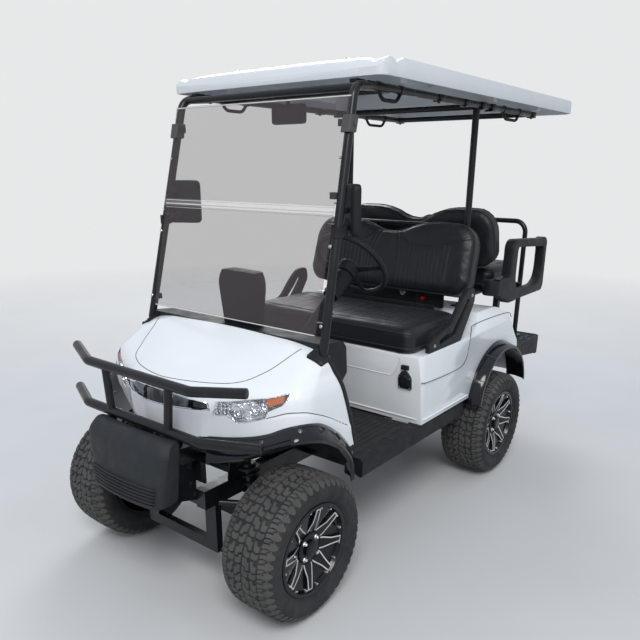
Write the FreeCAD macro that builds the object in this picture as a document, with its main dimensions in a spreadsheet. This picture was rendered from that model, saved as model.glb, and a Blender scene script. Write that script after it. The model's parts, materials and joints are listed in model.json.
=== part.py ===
"""Four-seat golf cart with a roof and a folding windscreen, in millimetres.

+Z is up, the cart faces -Y and +X is its left side. The origin lies on the ground
under the middle of the cart's box. Places along Y in the code are measured from the
front axle, backwards, and at() moves them into the cart's frame.
"""
import FreeCAD, Part
import Sketcher
import math
import os

Vector = FreeCAD.Vector

# name, value, what it is
SIZES = (
    ("wheelbase", 1670.0, "front axle to rear axle"),
    ("axle_front_y", -1046.0, "front axle, from the middle of the cart's box"),
    ("tyre_radius", 292.0, "outer radius of a tyre, at its tread"),
    ("tyre_width", 254.0, "section width of a tyre"),
    ("tread_width", 214.0, "flat width of the tread"),
    ("rim_radius", 178.0, "bead seat of the 14 inch rim"),
    ("rim_width", 204.0, "rim, between its flanges"),
    ("rim_wall", 7.0, "thickness of the rim's barrel"),
    ("rim_lip", 9.0, "height of the rim's flange over the bead seat"),
    ("rim_face", 78.0, "face of the spokes, outside the wheel's middle"),
    ("track_front_half", 500.0, "middle of the cart to the middle of a front tyre"),
    ("track_rear_half", 512.0, "middle of the cart to the middle of a rear tyre"),
    ("kingpin_x", 385.0, "middle of the cart to a steering axis"),
    ("kingpin_half", 100.0, "half the height of a knuckle"),
    ("fit_gap", 0.3, "clearance between pieces that seat on each other"),
    ("rail_x", 190.0, "middle of the cart to a frame rail"),
    ("rail_width", 50.0, "width of a frame rail"),
    ("rail_low", 408.0, "underside of the frame rails"),
    ("rail_high", 487.7, "top of the frame rails"),
    ("body_half", 560.0, "half the width of the body's sides"),
    ("floor_z", 508.0, "top of the floor mat"),
    ("sill_low", 430.0, "underside of the sills"),
    ("sill_high", 516.0, "top of the sills"),
    ("wall", 5.0, "thickness of the moulded body panels"),
    ("tube_guard", 19.0, "radius of the brush guard's tubes"),
    ("tube_post", 17.0, "radius of the roof posts"),
    ("tube_bar", 15.0, "radius of the grab bar's tubes"),
    ("roof_half", 561.0, "half the width of the roof"),
    ("roof_low", 1976.0, "lower edge of the roof"),
    ("roof_front_y", 425.0, "front edge of the roof at the middle"),
    ("roof_rear_y", 2480.0, "rear edge of the roof"),
    ("roof_wall", 8.0, "thickness of the roof's skin"),
    ("roof_crown", 104.0, "height of the roof's crown over its lower edge"),
    ("post_foot_x", 505.0, "foot of a front post"),
    ("post_foot_y", 172.0, "foot of a front post"),
    ("post_foot_z", 1002.0, "foot of a front post"),
    ("post_head_x", 462.0, "bend at the head of a front post"),
    ("post_head_y", 398.0, "bend at the head of a front post"),
    ("post_head_z", 1944.0, "bend at the head of a front post"),
    ("strut_x", 382.0, "middle of the cart to a rear roof strut"),
    ("strut_y", 1556.0, "rear roof struts"),
    ("screen_thick", 5.0, "thickness of the windscreen's sheets"),
    ("screen_half", 470.0, "half the width of the windscreen"),
    ("seat_low", 858.0, "underside of the front seat's cushion"),
    ("seat_thick", 122.0, "thickness of the front seat's cushion"),
    ("seat_front_y", 806.0, "front edge of the front seat's cushion"),
    ("seat_depth", 520.0, "front seat's cushion, front to back"),
    ("seat_half", 520.0, "half the width of the front seat's cushion"),
    ("back_thick", 105.0, "thickness of a seat's back"),
    ("rear_seat_low", 1035.0, "underside of the rear seat's cushion"),
    ("rear_seat_thick", 115.0, "thickness of the rear seat's cushion"),
    ("rear_seat_front_y", 1740.0, "front edge of the rear seat's cushion"),
    ("rear_seat_depth", 400.0, "rear seat's cushion, front to back"),
    ("rear_seat_half", 470.0, "half the width of the rear seat's cushion"),
    ("grab_y", 2400.0, "grab bar over the footrest"),
    ("grab_high", 1362.0, "top of the grab bar, at its middle line"),
    ("grab_half", 375.0, "middle of the cart to a leg of the grab bar"),
    ("footrest_front_y", 2058.0, "front edge of the rear footrest"),
    ("footrest_rear_y", 2504.0, "rear edge of the rear footrest"),
    ("footrest_half", 500.0, "half the width of the rear footrest"),
    ("footrest_high", 632.0, "top of the rear footrest"),
    ("steering_x", 275.0, "middle of the cart to the steering column"),
    ("steering_y", 664.0, "centre of the steering wheel"),
    ("steering_z", 1268.0, "centre of the steering wheel"),
    ("steering_tilt", 52.0, "steering wheel's plane, over the level"),
    ("steering_radius", 165.0, "steering wheel, to the middle of its rim"),
    ("steering_grip", 13.0, "radius of the steering wheel's rim"),
    ("arch_y", 18.0, "rear wheel arch, behind the rear axle"),
    ("arch_z", 434.0, "centre of the rear wheel arch"),
    ("arch_radius", 331.0, "rear wheel arch in the body"),
    ("flare_reach", 62.0, "flares, outside the body's side"),
)

doc = FreeCAD.newDocument("golf_cart")
sheet = doc.addObject("Spreadsheet::Sheet", "sizes")
for line, (alias, size, note) in enumerate(SIZES, start=1):
    sheet.set("A%d" % line, alias)
    sheet.set("B%d" % line, repr(size))
    sheet.set("C%d" % line, note)
    sheet.setAlias("B%d" % line, alias)
doc.recompute()


class Cell:
    """A sheet value with the expression that gives it, so that sums of cells stay bound."""

    def __init__(self, text, value):
        self.text = text
        self.value = float(value)

    def __add__(self, other):
        return Cell("(%s + %s)" % (self.text, cell_of(other).text), self.value + cell_of(other).value)

    def __sub__(self, other):
        return Cell("(%s - %s)" % (self.text, cell_of(other).text), self.value - cell_of(other).value)

    def __mul__(self, other):
        return Cell("(%s * %s)" % (self.text, cell_of(other).text), self.value * cell_of(other).value)

    def __neg__(self):
        return Cell("(0 - %s)" % self.text, -self.value)


def cell_of(thing):
    return thing if isinstance(thing, Cell) else Cell(repr(float(thing)), thing)


class Cells:
    """Every size by its name, as a bound cell."""

    def __getattr__(self, alias):
        return Cell("sizes.%s" % alias, sheet.get(alias))


class Numbers:
    """Every size by its name, as a plain number."""

    def __getattr__(self, alias):
        return float(sheet.get(alias))


C = Cells()
S = Numbers()

AXLE_Y = S.axle_front_y
REAR_AXLE = S.wheelbase


def at(x, y, z):
    """A point of the cart, with y measured back from the front axle."""
    return Vector(x, y + AXLE_Y, z)


def side(x):
    return lambda y, z: at(x, y, z)


def plan(z):
    return lambda x, y: at(x, y, z)


def front(y):
    return lambda x, z: at(x, y, z)


def outline(points, place):
    """A closed wire. A point is (a, b), or (mid a, mid b, a, b) for an arc that ends there."""
    edges = []
    start = points[-1][-2:]
    for point in points:
        end = point[-2:]
        if len(point) == 4:
            edges.append(Part.Arc(place(*start), place(*point[:2]), place(*end)).toShape())
        else:
            edges.append(Part.LineSegment(place(*start), place(*end)).toShape())
        start = end
    return Part.Wire(edges)


def prism(points, place, reach):
    return Part.Face(outline(points, place)).extrude(reach)


def side_prism(points, x_from, x_to):
    return prism(points, side(x_from), Vector(x_to - x_from, 0, 0))


def plan_prism(points, z_from, z_to):
    return prism(points, plan(z_from), Vector(0, 0, z_to - z_from))


def front_prism(points, y_from, y_to):
    return prism(points, front(y_from), Vector(0, y_to - y_from, 0))


def block(x_from, x_to, y_from, y_to, z_from, z_to):
    return Part.makeBox(x_to - x_from, y_to - y_from, z_to - z_from, at(x_from, y_from, z_from))


def rounded_block(x_from, x_to, y_from, y_to, z_from, z_to, radius):
    solid = block(x_from, x_to, y_from, y_to, z_from, z_to)
    return solid.makeFillet(radius, solid.Edges)


def rod(start, end, radius):
    return Part.makeCylinder(radius, (end - start).Length, start, end - start)


def tube(points, radius, bend):
    """A round bar through the points, with a bend of the given radius at each inner one."""
    edges = []
    start = points[0]
    for before, corner, after in zip(points, points[1:], points[2:]):
        into = (corner - before).normalize()
        out = (after - corner).normalize()
        half_turn = into.getAngle(out) / 2
        cut = bend * math.tan(half_turn)
        first = corner - into * cut
        last = corner + out * cut
        middle = (out - into).normalize()
        arc_mid = corner + middle * (bend / math.cos(half_turn) - bend)
        if (first - start).Length > 1e-6:
            edges.append(Part.LineSegment(start, first).toShape())
        edges.append(Part.Arc(first, arc_mid, last).toShape())
        start = last
    edges.append(Part.LineSegment(start, points[-1]).toShape())
    path = Part.Wire(edges)
    ring = Part.Wire(Part.makeCircle(radius, points[0], points[1] - points[0]))
    return path.makePipeShell([ring], True, False)


def mirrored(shape):
    return shape.mirror(Vector(0, 0, 0), Vector(1, 0, 0))


def both_sides(shape):
    return Part.makeCompound([shape, mirrored(shape)])


def fused(first, *others):
    return first.multiFuse(list(others)).removeSplitter()


def with_mirror(shape):
    return fused(shape, mirrored(shape))


NODES = []


def keep(thing, label):
    thing.Label = label
    NODES.append(thing)
    return thing


def feature(label, shape):
    piece = doc.addObject("Part::Feature", label)
    piece.Shape = shape
    piece.Placement = shape.Placement
    return keep(piece, label)


def bind(thing, **cells):
    """Bind each named property, such as Length or Placement_Base_x, to its cell."""
    for name, cell in cells.items():
        thing.setExpression(name.replace("_", "."), cell_of(cell).text)


def origin_plane(body, role):
    return next(datum for datum in body.Origin.OriginFeatures if datum.Role == role)


def closed_sketch(body, role, name, points):
    """A closed outline of straight sides, with every corner's two distances bound to cells."""
    sketch = body.newObject("Sketcher::SketchObject", name)
    sketch.AttachmentSupport = (origin_plane(body, role), "")
    sketch.MapMode = "FlatFace"
    corners = [(cell_of(a), cell_of(b)) for a, b in points]
    spots = [Vector(a.value, b.value, 0) for a, b in corners]
    for start, end in zip(spots, spots[1:] + spots[:1]):
        sketch.addGeometry(Part.LineSegment(start, end), False)
    for index in range(len(spots)):
        following = (index + 1) % len(spots)
        sketch.addConstraint(Sketcher.Constraint("Coincident", index, 2, following, 1))
    for index, corner in enumerate(corners):
        for kind, cell in (("DistanceX", corner[0]), ("DistanceY", corner[1])):
            number = sketch.addConstraint(Sketcher.Constraint(kind, -1, 1, index, 1, cell.value))
            sketch.setExpression("Constraints[%d]" % number, cell.text)
    return sketch


def revolved(body, sketch, name, axis):
    turn = body.newObject("PartDesign::Revolution", name)
    turn.Profile = sketch
    turn.ReferenceAxis = (sketch, [axis])
    turn.Angle = 360
    body.Tip = turn
    return turn


# Wheels

SIDES = (("left", 1), ("right", -1))
AXLES = (("front", 0.0, "track_front_half"), ("rear", 1.0, "track_rear_half"))


def wheel_place(thing, hand, axle_share, track):
    """Put a body made about the X axis on its hub, with its face outwards."""
    bind(thing, Placement_Base_x=getattr(C, track) * hand,
         Placement_Base_y=C.axle_front_y + C.wheelbase * axle_share,
         Placement_Base_z=C.tyre_radius)
    if hand < 0:
        thing.Placement.Rotation = FreeCAD.Rotation(Vector(0, 0, 1), 180)


def tyre(label):
    """Carcass of the tyre: bead, bulged wall, shoulder and tread, turned about its axle."""
    body = doc.addObject("PartDesign::Body", label)
    bead = C.rim_radius + C.fit_gap
    bead_half = (C.rim_width - C.fit_gap * 2) * 0.5
    bulge = C.tyre_width * 0.5
    tread = C.tread_width * 0.5
    wall = C.tyre_radius - C.rim_radius
    half = (
        (bead_half, bead),
        (bead_half, C.rim_radius + wall * 0.1),
        (bulge - 6, C.rim_radius + wall * 0.27),
        (bulge, C.rim_radius + wall * 0.46),
        (bulge - 4, C.rim_radius + wall * 0.69),
        (tread, C.tyre_radius - wall * 0.06),
        (tread - 22, C.tyre_radius),
    )
    points = [(a, b) for a, b in half] + [(-a, b) for a, b in reversed(half)]
    sketch = closed_sketch(body, "XY_Plane", label + "_section", points)
    revolved(body, sketch, label + "_turned", "H_Axis")
    return body


def rim(label):
    """Barrel with its two flanges, turned, and a face of spokes cut by a ring of windows."""
    body = doc.addObject("PartDesign::Body", label)
    inner = C.rim_radius - C.rim_wall
    half = C.rim_width * 0.5
    lip = C.rim_radius + C.rim_lip
    face = C.rim_face
    points = [
        (-half - 8, inner), (face - 24, inner), (face - 36, 70), (face - 36, 0),
        (face - 6, 0), (face - 6, 62), (face, 74), (face + 14, inner - 6), (half + 8, inner + 2),
        (half + 8, lip), (half, lip), (half, C.rim_radius), (-half, C.rim_radius),
        (-half, lip), (-half - 8, lip),
    ]
    sketch = closed_sketch(body, "XY_Plane", label + "_section", points)
    revolved(body, sketch, label + "_turned", "H_Axis")
    return body


for axle_name, axle_share, track in AXLES:
    for side_name, hand in SIDES:
        for maker, kind in ((rim, "rim"), (tyre, "tyre")):
            piece = maker("%s_%s_%s" % (kind, axle_name, side_name))
            wheel_place(piece, hand, axle_share, track)
            keep(piece, piece.Name)

# Steering knuckles, which turn about the kingpins and carry the front wheels


def knuckle():
    """Upright between the two ball joints, with the spindle that fills the wheel's hub."""
    x = S.kingpin_x
    z = S.tyre_radius
    half = S.kingpin_half
    hub_face = S.track_front_half + S.rim_face - 36 - S.fit_gap
    upright = side_prism([(-26, z - 40), (-18, z - half), (18, z - half), (26, z - 40), (26, z + 40),
                          (18, z + half), (-18, z + half), (-26, z + 40)], x - 20, x + 20)
    spindle = rod(at(x, 0, z), at(hub_face, 0, z), 26)
    drum = rod(at(x + 24, 0, z), at(hub_face - 14, 0, z), 105)
    arm = block(x - 12, x + 12, 20, 120, z - 46, z - 26)
    pins = [rod(at(x, 0, z - half - 26), at(x, 0, z + half + 26), 10)]
    return fused(upright, spindle, drum, arm, *pins)


left_knuckle = knuckle()
feature("knuckle_left", left_knuckle)
feature("knuckle_right", mirrored(left_knuckle))

# Frame


def sill_inside():
    """The sills' inner face, where the frame's outriggers and the mat end."""
    return S.body_half - 60


def frame():
    x = S.rail_x
    half = S.rail_width / 2
    low, high = S.rail_low, S.rail_high
    rails = [block(x - half, x + half, -190, S.grab_y - 70, low, high)]
    for y in (-190, 352, 640, 838, 1330, S.grab_y - 130):
        rails.append(block(0, x, y, y + 60, low + 10, high - 10))
    for y in (400, 620, 800, 1080):
        rails.append(block(x, sill_inside() - S.fit_gap, y, y + 40, low + 40, high))
    for y in (1242, 2078):
        rails.append(block(272, 328, y, y + 20, low - 78, low + 32))
        rails.append(block(x, 300, y, y + 20, low, low + 32))
    tower = side_prism([(-70, low), (70, low), (45, 618), (-45, 618)], x + half - 8, x + half)
    plates = []
    for y in (-140, 110):
        plate = block(0, x + half, y, y + 30, 190, low + 20)
        plates.append(plate.cut(block(-1, x + half - 62, y - 1, y + 31, 238, low - 12)))
    plates.append(block(x + half - 8, 284, -25, 25, 592.3, 600))
    return with_mirror(fused(rails[0], *(rails[1:] + [tower] + plates)))


feature("frame", frame())


# Front body: the moulded cowl with its hood and nose

REAR_LEAN = 0.378


def rear_line(z):
    """The cowl's rear edge, which leans forward with its height."""
    return S.post_foot_y + 10 + (S.post_foot_z + 3 - z) * REAR_LEAN


# height, nose, brow (across, back), corner (across, back), side (across, back), all in mm
COWL_SECTIONS = (
    (600.0, -222, 236, -150, 486, -36, 552, 60),
    (760.0, -237, 246, -164, 498, -44, 560, 52),
    (862.0, -233, 246, -160, 498, -40, 560, 58),
    (906.0, -196, 240, -132, 486, -18, 552, 74),
    (940.0, -88, 226, -52, 466, 24, 538, 108),
    (985.0, 26, 208, 44, 430, 88, 520, 146),
    (1022.0, 112, 186, 122, 372, 142, 452, 190),
    (1050.0, 176, 130, 180, 250, 192, 330, 230),
)


def cowl_outline(section, inset):
    """Plan outline of the cowl at one height, symmetric about the middle."""
    height, nose, brow_x, brow_y, corner_x, corner_y, side_x, side_y = section
    nose, brow_y, corner_y, side_y = (value + inset for value in (nose, brow_y, corner_y, side_y))
    brow_x, corner_x, side_x = brow_x - inset / 3, corner_x - inset, side_x - inset
    turn_x = corner_x + (side_x - corner_x) * 0.72
    turn_y = corner_y + (side_y - corner_y) * 0.42
    rear = 420
    return [
        (-brow_x, brow_y), (0, nose, brow_x, brow_y), (corner_x, corner_y),
        (turn_x, turn_y, side_x, side_y), (side_x, rear), (-side_x, rear),
        (-side_x, side_y), (-turn_x, turn_y, -corner_x, corner_y),
    ]


def cowl_form(inset):
    """Solid form of the cowl, from its plan outlines; an inset gives its inside."""
    wires = []
    for number, section in enumerate(COWL_SECTIONS):
        height = section[0] - (inset if number else 60 if inset else 0)
        wires.append(outline(cowl_outline(section, inset), plan(height)))
    return Part.makeLoft(wires, True, True)


# The cowl's lower edge and the flare's lip beside it: across, back, up; across, back, up
FLARE_EDGE = (
    (231.0, -173, 715, 268, -222, 634),
    (299.0, -139, 718, 335, -190, 652),
    (372.0, -104, 728, 401, -160, 671),
    (433.0, -75, 745, 452, -133, 692),
    (496.0, -45, 777, 541, -91, 734),
    (531.0, -19, 789, 580, -58, 751),
    (555.0, 24, 790, 616, 8, 746),
    (560.0, 78, 776, 622, 50, 731),
    (560.0, 128, 751, 622, 92, 708),
    (558.0, 180, 716, 622, 134, 680),
    (556.0, 233, 668, 622, 180, 634),
    (554.0, 279, 610, 622, 212, 588),
    (554.0, 268, 552, 621, 229, 543),
    (554.0, 264, 503, 618, 236, 503),
)


def arch_edge():
    """The cowl's lower edge seen from the side, from the nose over the wheel to the sill."""
    over_wheel = [(row[1], row[2]) for row in FLARE_EDGE[:12]]
    return [(-420, FLARE_EDGE[0][2])] + over_wheel + [(rear_line(606) + 2, 606)]


def cowl():
    shell = cowl_form(0).cut(cowl_form(S.wall))
    below = side_prism(arch_edge() + [(460, 560), (-420, 560)], -700, 700)
    behind = side_prism([(rear_line(500), 500), (460, 500), (460, 1120), (rear_line(1120), 1120)],
                        -700, 700)
    return shell.cut(below).cut(behind)


def front_flares():
    """Pocket flares: each slopes out from the cowl's edge to a lip over the wheel."""
    wheel = at(0, 0, S.tyre_radius)
    lip, wall = 15, S.wall
    wires = []
    for row in FLARE_EDGE:
        edge, brim = at(*row[:3]), at(*row[3:])
        inward = Vector(edge.x - brim.x, edge.y - brim.y, 0).normalize()
        into = Vector(0, wheel.y - brim.y, wheel.z - brim.z).normalize() if row[1] > -60 else Vector(0, 0, -1)
        edge += into * S.fit_gap
        corners = [edge, brim, brim + into * lip, brim + into * lip + inward * wall,
                   brim + into * wall + inward * wall, edge + into * (wall + 2)]
        wires.append(Part.makePolygon(corners + corners[:1]))
    flare = Part.makeLoft(wires, True, True)
    below = side_prism([(282, 609), (334, 605.7), (374, 517), (374, 436), (316, 436), (292, 462), (262, 503),
                        (262, 552)], 549, 554)
    return both_sides(fused(flare, below).cut(front_post(S.fit_gap)))


def grille():
    """Bright strip across the nose, between the headlamps."""
    window = front_prism([(-238, 822), (238, 822), (244, 850), (-60, 884, -244, 850)], -260, -100)
    return cowl_form(-5).common(window).cut(cowl_form(-S.fit_gap))


feature("grille_strip", grille())


def headlamp():
    window = front_prism([(241, 804), (299, 806), (328, 779), (366, 784), (434, 807), (444, 835), (493, 865),
                          (506, 882), (508, 907), (436, 884), (305, 863), (256, 858)], -260, 20)
    return cowl_form(-6).common(window).cut(cowl_form(-S.fit_gap))


feature("headlamps", both_sides(headlamp()))

# Brush guard and front bumper


def brush_guard():
    r = S.tube_guard
    top = tube([at(-493, -225, 959), at(-300, -301, 944), at(300, -301, 944), at(493, -225, 959)], r, 60)
    low = tube([at(-538, -209, 763), at(-330, -301, 763), at(330, -301, 763), at(538, -209, 763)], r, 60)
    posts = [rod(at(x, -301, 944), at(x * 0.91, -303, 763), r * 0.85) for x in (-187, 187)]
    legs = [side_prism([(-318, 763), (-318, 740), (-330 + S.fit_gap, 734), (-330 + S.fit_gap, 510),
                        (-318, 480), (-190.3, 440), (-190.3, 560), (-290, 640), (-290, 763)],
                       x - 4, x + 4) for x in (-166, 166)]
    return fused(top, low, *(posts + legs))


feature("brush_guard", brush_guard())


def front_bumper():
    form = side_prism([(-322, 500), (-414, 490), (-402, 702), (-376, 738), (-322, 736)], -260, 260)
    outline = [(-200, 480), (200, 480), (237, 702), (226, 745), (-226, 745), (-237, 702)]
    face = front_prism(outline, -430, -300)
    solid = form.common(face)
    ribs = [block(-172, 172, -430, -406.5, z, z + 5) for z in range(512, 600, 16)]
    slots = [block(x - 4.3, x + 4.3, -330, -100, 460, 760) for x in (-166, 166)]
    return solid.cut(Part.makeCompound(ribs)).cut(Part.makeCompound(slots))


feature("front_bumper", front_bumper())

def front_post(spare=0.0):
    """A roof post from the sill, behind the cowl's edge, to the roof frame."""
    z = S.roof_low - S.fit_gap - S.tube_bar - 2
    base = at(S.post_foot_x, rear_line(517) - 4, 517)
    foot = at(S.post_foot_x, S.post_foot_y, S.post_foot_z)
    head = at(S.post_head_x, S.post_head_y, S.post_head_z)
    return tube([base, foot, head, at(430, 560, z), at(430, 659, z)], S.tube_post + spare, 60)


feature("front_cowl", cowl().cut(both_sides(front_post(S.fit_gap))))
feature("front_flares", front_flares())

# Floor, sills, dash


def steering_frame():
    """Unit vectors of the steering wheel: up its plane, and out towards the driver."""
    tilt = math.radians(S.steering_tilt)
    up = Vector(0, -math.cos(tilt), math.sin(tilt))
    out = Vector(0, math.sin(tilt), math.cos(tilt))
    return up, out


UP, OUT = steering_frame()
HUB = at(S.steering_x, S.steering_y, S.steering_z)
COLUMN_LONG = 470


def floor_mat():
    mat = side_prism([(865, S.floor_z - 20), (865, S.floor_z), (392, S.floor_z), (300, 700),
                      (282, 694), (380, S.floor_z - 20)], 1 - sill_inside(), sill_inside() - 1)
    return mat.cut(both_sides(front_post(S.fit_gap)))


feature("floor_mat", floor_mat())


def sills():
    x = S.body_half
    inside = sill_inside()
    bar = front_prism([(inside, S.sill_low + 14), (x - 10, S.sill_low), (x - 2, S.sill_low + 12),
                       (x - 2, S.sill_high - 12), (x - 14, S.sill_high), (inside, S.sill_high)],
                      378, REAR_AXLE - 370)
    return both_sides(bar)


feature("sills", sills())


def dash():
    """Dashboard across the cabin, with a glove pocket and the display's hood."""
    panel = side_prism([(rear_line(1046) + 0.4, 1046), (304, 1032), (326, 1004), (334, 900), (300, 866),
                        (rear_line(866) + 0.4, 866)], -500, 500)
    pockets = [block(x - 130, x + 130, 250, 360, 890, 990) for x in (-320,)]
    hood_edge = [(-84, 1030), (80, 1030), (100, 1210), (86, 1258), (-90, 1262), (-112, 1216)]
    hood = front_prism(hood_edge, 236, 300)
    column = rod(HUB - OUT * 380, HUB - OUT * (COLUMN_LONG + 0.3), 20.3)
    posts = both_sides(front_post(S.fit_gap))
    return fused(panel.cut(Part.makeCompound(pockets + [column])).cut(posts), hood)


feature("dash", dash())

# Rear body

PANEL_STEP = 6


def rear_body():
    """Seat box and rear deck as one hollow moulding, open below, with its wheel arches."""
    half = S.body_half
    wall = S.wall
    seat = S.seat_low - S.fit_gap

    def form(inset):
        profile = [
            (866 + inset, S.sill_high + S.fit_gap), (828 + inset, seat - inset), (1392 + inset, seat - inset),
            (1440 + inset, 960 - inset), (1650, 960 - inset),
            (1748, 930 - inset, 1831 - inset, 880 - inset), (1928 - inset, 765), (1985 - inset, 707),
            (2014 - inset, S.sill_high + S.fit_gap),
        ]
        box = side_prism(profile, -half + inset, half - inset)
        cheeks = front_prism([(-half + inset, 500), (half - inset, 500), (half - inset, 780),
                              (half - 9 - inset, 880, half - 34 - inset, 966 - inset),
                              (-half + 34 + inset, 966 - inset),
                              (-half + 9 + inset, 880, -half + inset, 780)], 800, 2100)
        low_side = side_prism([(780, 742 + inset), (900, 724 + inset), (1100, 716 + inset), (1242, 720 + inset),
                               (1292, 748 + inset), (1317, 813 + inset), (1348, 884 + inset),
                               (1400, 910 + inset), (1800, 904 + inset), (1900, 840 + inset), (2060, 760 + inset),
                               (2060, 480), (780, 480)], half - PANEL_STEP - inset, half + 20)
        return box.common(cheeks).cut(both_sides(low_side))

    shell = form(0).cut(form(wall))
    arch = Part.makeCylinder(S.arch_radius, 1400, at(-700, REAR_AXLE + S.arch_y, S.arch_z), Vector(1, 0, 0))
    hatch = block(-440, 440, 900, 1330, 800, 900)
    return shell.cut(arch).cut(hatch)


feature("rear_body", rear_body())


def rear_flares():
    """Ring over each rear wheel, which slopes out and in from the body's arch to a lip."""
    half = S.body_half
    brim = half + S.flare_reach
    outer = S.arch_radius - S.fit_gap
    drop = 23
    middle = at(0, REAR_AXLE + S.arch_y, S.arch_z)
    section = [(half - 60, outer), (half - 3, outer), (brim - 4, outer - drop + 5), (brim, outer - drop),
               (brim, outer - drop - 14), (brim - 5, outer - drop - 14), (brim - 7, outer - drop - 2),
               (half - 4, outer - S.wall), (half - 60, outer - S.wall)]
    corners = [middle + Vector(x, 0, radius) for x, radius in section]
    ring = Part.Face(Part.makePolygon(corners + corners[:1])).revolve(middle, Vector(1, 0, 0), 360)
    below = block(400, 700, 1000, 2300, 0, S.arch_z + 50)
    return both_sides(ring.cut(below))


feature("rear_flares", rear_flares())

# Seats


def padded(outline_at, levels, place_at):
    """A cushion as a stack of outlines. Each level gives its height and how far it draws in."""
    wires = [outline(outline_at(inset), place_at(height)) for height, inset in levels]
    return Part.makeLoft(wires, True, True)


def seat_pad(half, depth, thick, low, front_y):
    """Cushion with rounded corners and a rounded top edge."""
    def outline_at(inset):
        x, y_near, y_far = half - inset, front_y + inset, front_y + depth - inset
        turn, bow = 66, 19.3
        return [
            (-x + turn, y_near), (x - turn, y_near), (x - bow, y_near + bow, x, y_near + turn),
            (x, y_far - turn), (x - bow, y_far - bow, x - turn, y_far), (-x + turn, y_far),
            (-x + bow, y_far - bow, -x, y_far - turn), (-x, y_near + turn),
            (-x + bow, y_near + bow, -x + turn, y_near),
        ][1:]

    levels = ((low, 6), (low + 6, 0), (low + thick - 34, 0), (low + thick - 20, 4),
              (low + thick - 8, 13), (low + thick, 34))
    return padded(outline_at, levels, plan)


feature("front_seat_base", seat_pad(S.seat_half, S.seat_depth, S.seat_thick, S.seat_low, S.seat_front_y))
feature("rear_seat_base", seat_pad(S.rear_seat_half, S.rear_seat_depth, S.rear_seat_thick,
                                   S.rear_seat_low, S.rear_seat_front_y))


def seat_back(half, height, thick, dip):
    """Upright back with two humps and a dip, its front at y = 0 and its foot at z = 0."""
    def outline_at(inset):
        x, top, low = half - inset, height - inset, inset
        hump = half * 0.5
        return [
            (x - 90, low), (x - 26, low + 26, x, low + 90), (x - 4, top - 130),
            (x - 40, top - 38, x - 140, top - 2), (hump + 8, top + 2, hump - 70, top - 6),
            (hump - 130, top - 24), (0, top - dip - 6, -hump + 130, top - 24),
            (-hump + 70, top - 6), (-hump - 8, top + 2, -x + 140, top - 2),
            (-x + 40, top - 38, -x + 4, top - 130), (-x, low + 90),
            (-x + 26, low + 26, -x + 90, low),
        ]

    levels = ((0, 34), (7, 13), (18, 4), (32, 0), (thick - 22, 0), (thick - 8, 5), (thick, 16))
    return padded(outline_at, levels, lambda y: lambda x, z: Vector(x, y, z))


def leaning(shape, degrees, foot):
    """Turn a back about its foot's line and put that line in place."""
    shape = shape.copy()
    if degrees < 0:
        shape.rotate(Vector(0, 0, 0), Vector(0, 0, 1), 180)
    shape.rotate(Vector(0, 0, 0), Vector(1, 0, 0), -degrees)
    shape.translate(foot)
    return shape


FRONT_LEAN = 15.0
REAR_BACK_LEAN = -9.0
feature("front_seat_back", leaning(seat_back(525, 396, S.back_thick, 50), FRONT_LEAN, at(0, 1318, 1042)))
feature("rear_seat_back", leaning(seat_back(505, 330, S.back_thick, 55), REAR_BACK_LEAN, at(0, 1790, 1158)))


ARMREST_X = 500


def rear_struts():
    x, y = S.strut_x, S.strut_y
    r = S.tube_post
    tube_z = S.roof_low - S.fit_gap - S.tube_bar
    top_z = tube_z - S.tube_bar - S.fit_gap
    uprights = [rod(at(side_x, y, 967), at(side_x, y, top_z), r) for side_x in (-x, x)]
    bars = [rod(at(-x, y, z), at(x, y, z), 12) for z in (1200, 1380)]
    feet = [block(side_x - 40, side_x + 40, y - 40, y + 40, 960.3, 967) for side_x in (-x, x)]
    arms = []
    for z in (1200, 1380):
        front_y = 1318 + S.back_thick / 0.9659 + (z + 6 - 1042) * 0.268 + S.fit_gap
        rear_y = 1790 - S.back_thick / 0.9877 - (z + 6 - 1158) * 0.1584 - S.fit_gap
        arms += [block(side_x - 20, side_x + 20, front_y, rear_y, z - 6, z + 6) for side_x in (-300, 300)]
    seat_low = S.rear_seat_low - S.fit_gap
    carrier = S.footrest_high - 34
    for side_x in (-x, x):
        feet.append(block(side_x - 16, side_x + 16, y, 2100, seat_low - 32, seat_low))
        feet.append(block(side_x - 16, side_x + 16, 2020, 2052, carrier, seat_low))
    for bar_y in (1800, 2060):
        reach = ARMREST_X - S.fit_gap
        feet.append(block(-reach, reach, bar_y, bar_y + 32, seat_low - 32, seat_low))
    return fused(uprights[0], *(uprights[1:] + bars + feet + arms))


feature("rear_struts", rear_struts())


def seat_board():
    """Board behind the front seat's cushion, under its back, standing on the seat box."""
    return rounded_block(-330, 330, 1338, 1350, S.seat_low, S.seat_low + 132, 4)


feature("seat_board", seat_board())


def hip_restraints():
    """Moulded loops beside the front seat."""
    x_in, x_out = S.seat_half + 12, S.seat_half + 37
    low = S.seat_low
    ring = side_prism([(905, low), (1240, low), (1300, 985), (1352, 1040, 1418, 1146), (1404, 1176, 1362, 1168),
                       (1270, 1046, 1140, 1000), (1010, 958, 908, 908)], x_in, x_out)
    hole = side_prism([(1010, 893), (1190, 893), (1222, 950), (1236, 1004, 1200, 1000), (1130, 968, 1020, 934)],
                      x_in - 5, x_out + 5)
    return both_sides(ring.cut(hole))


feature("hip_restraints", hip_restraints())


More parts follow.
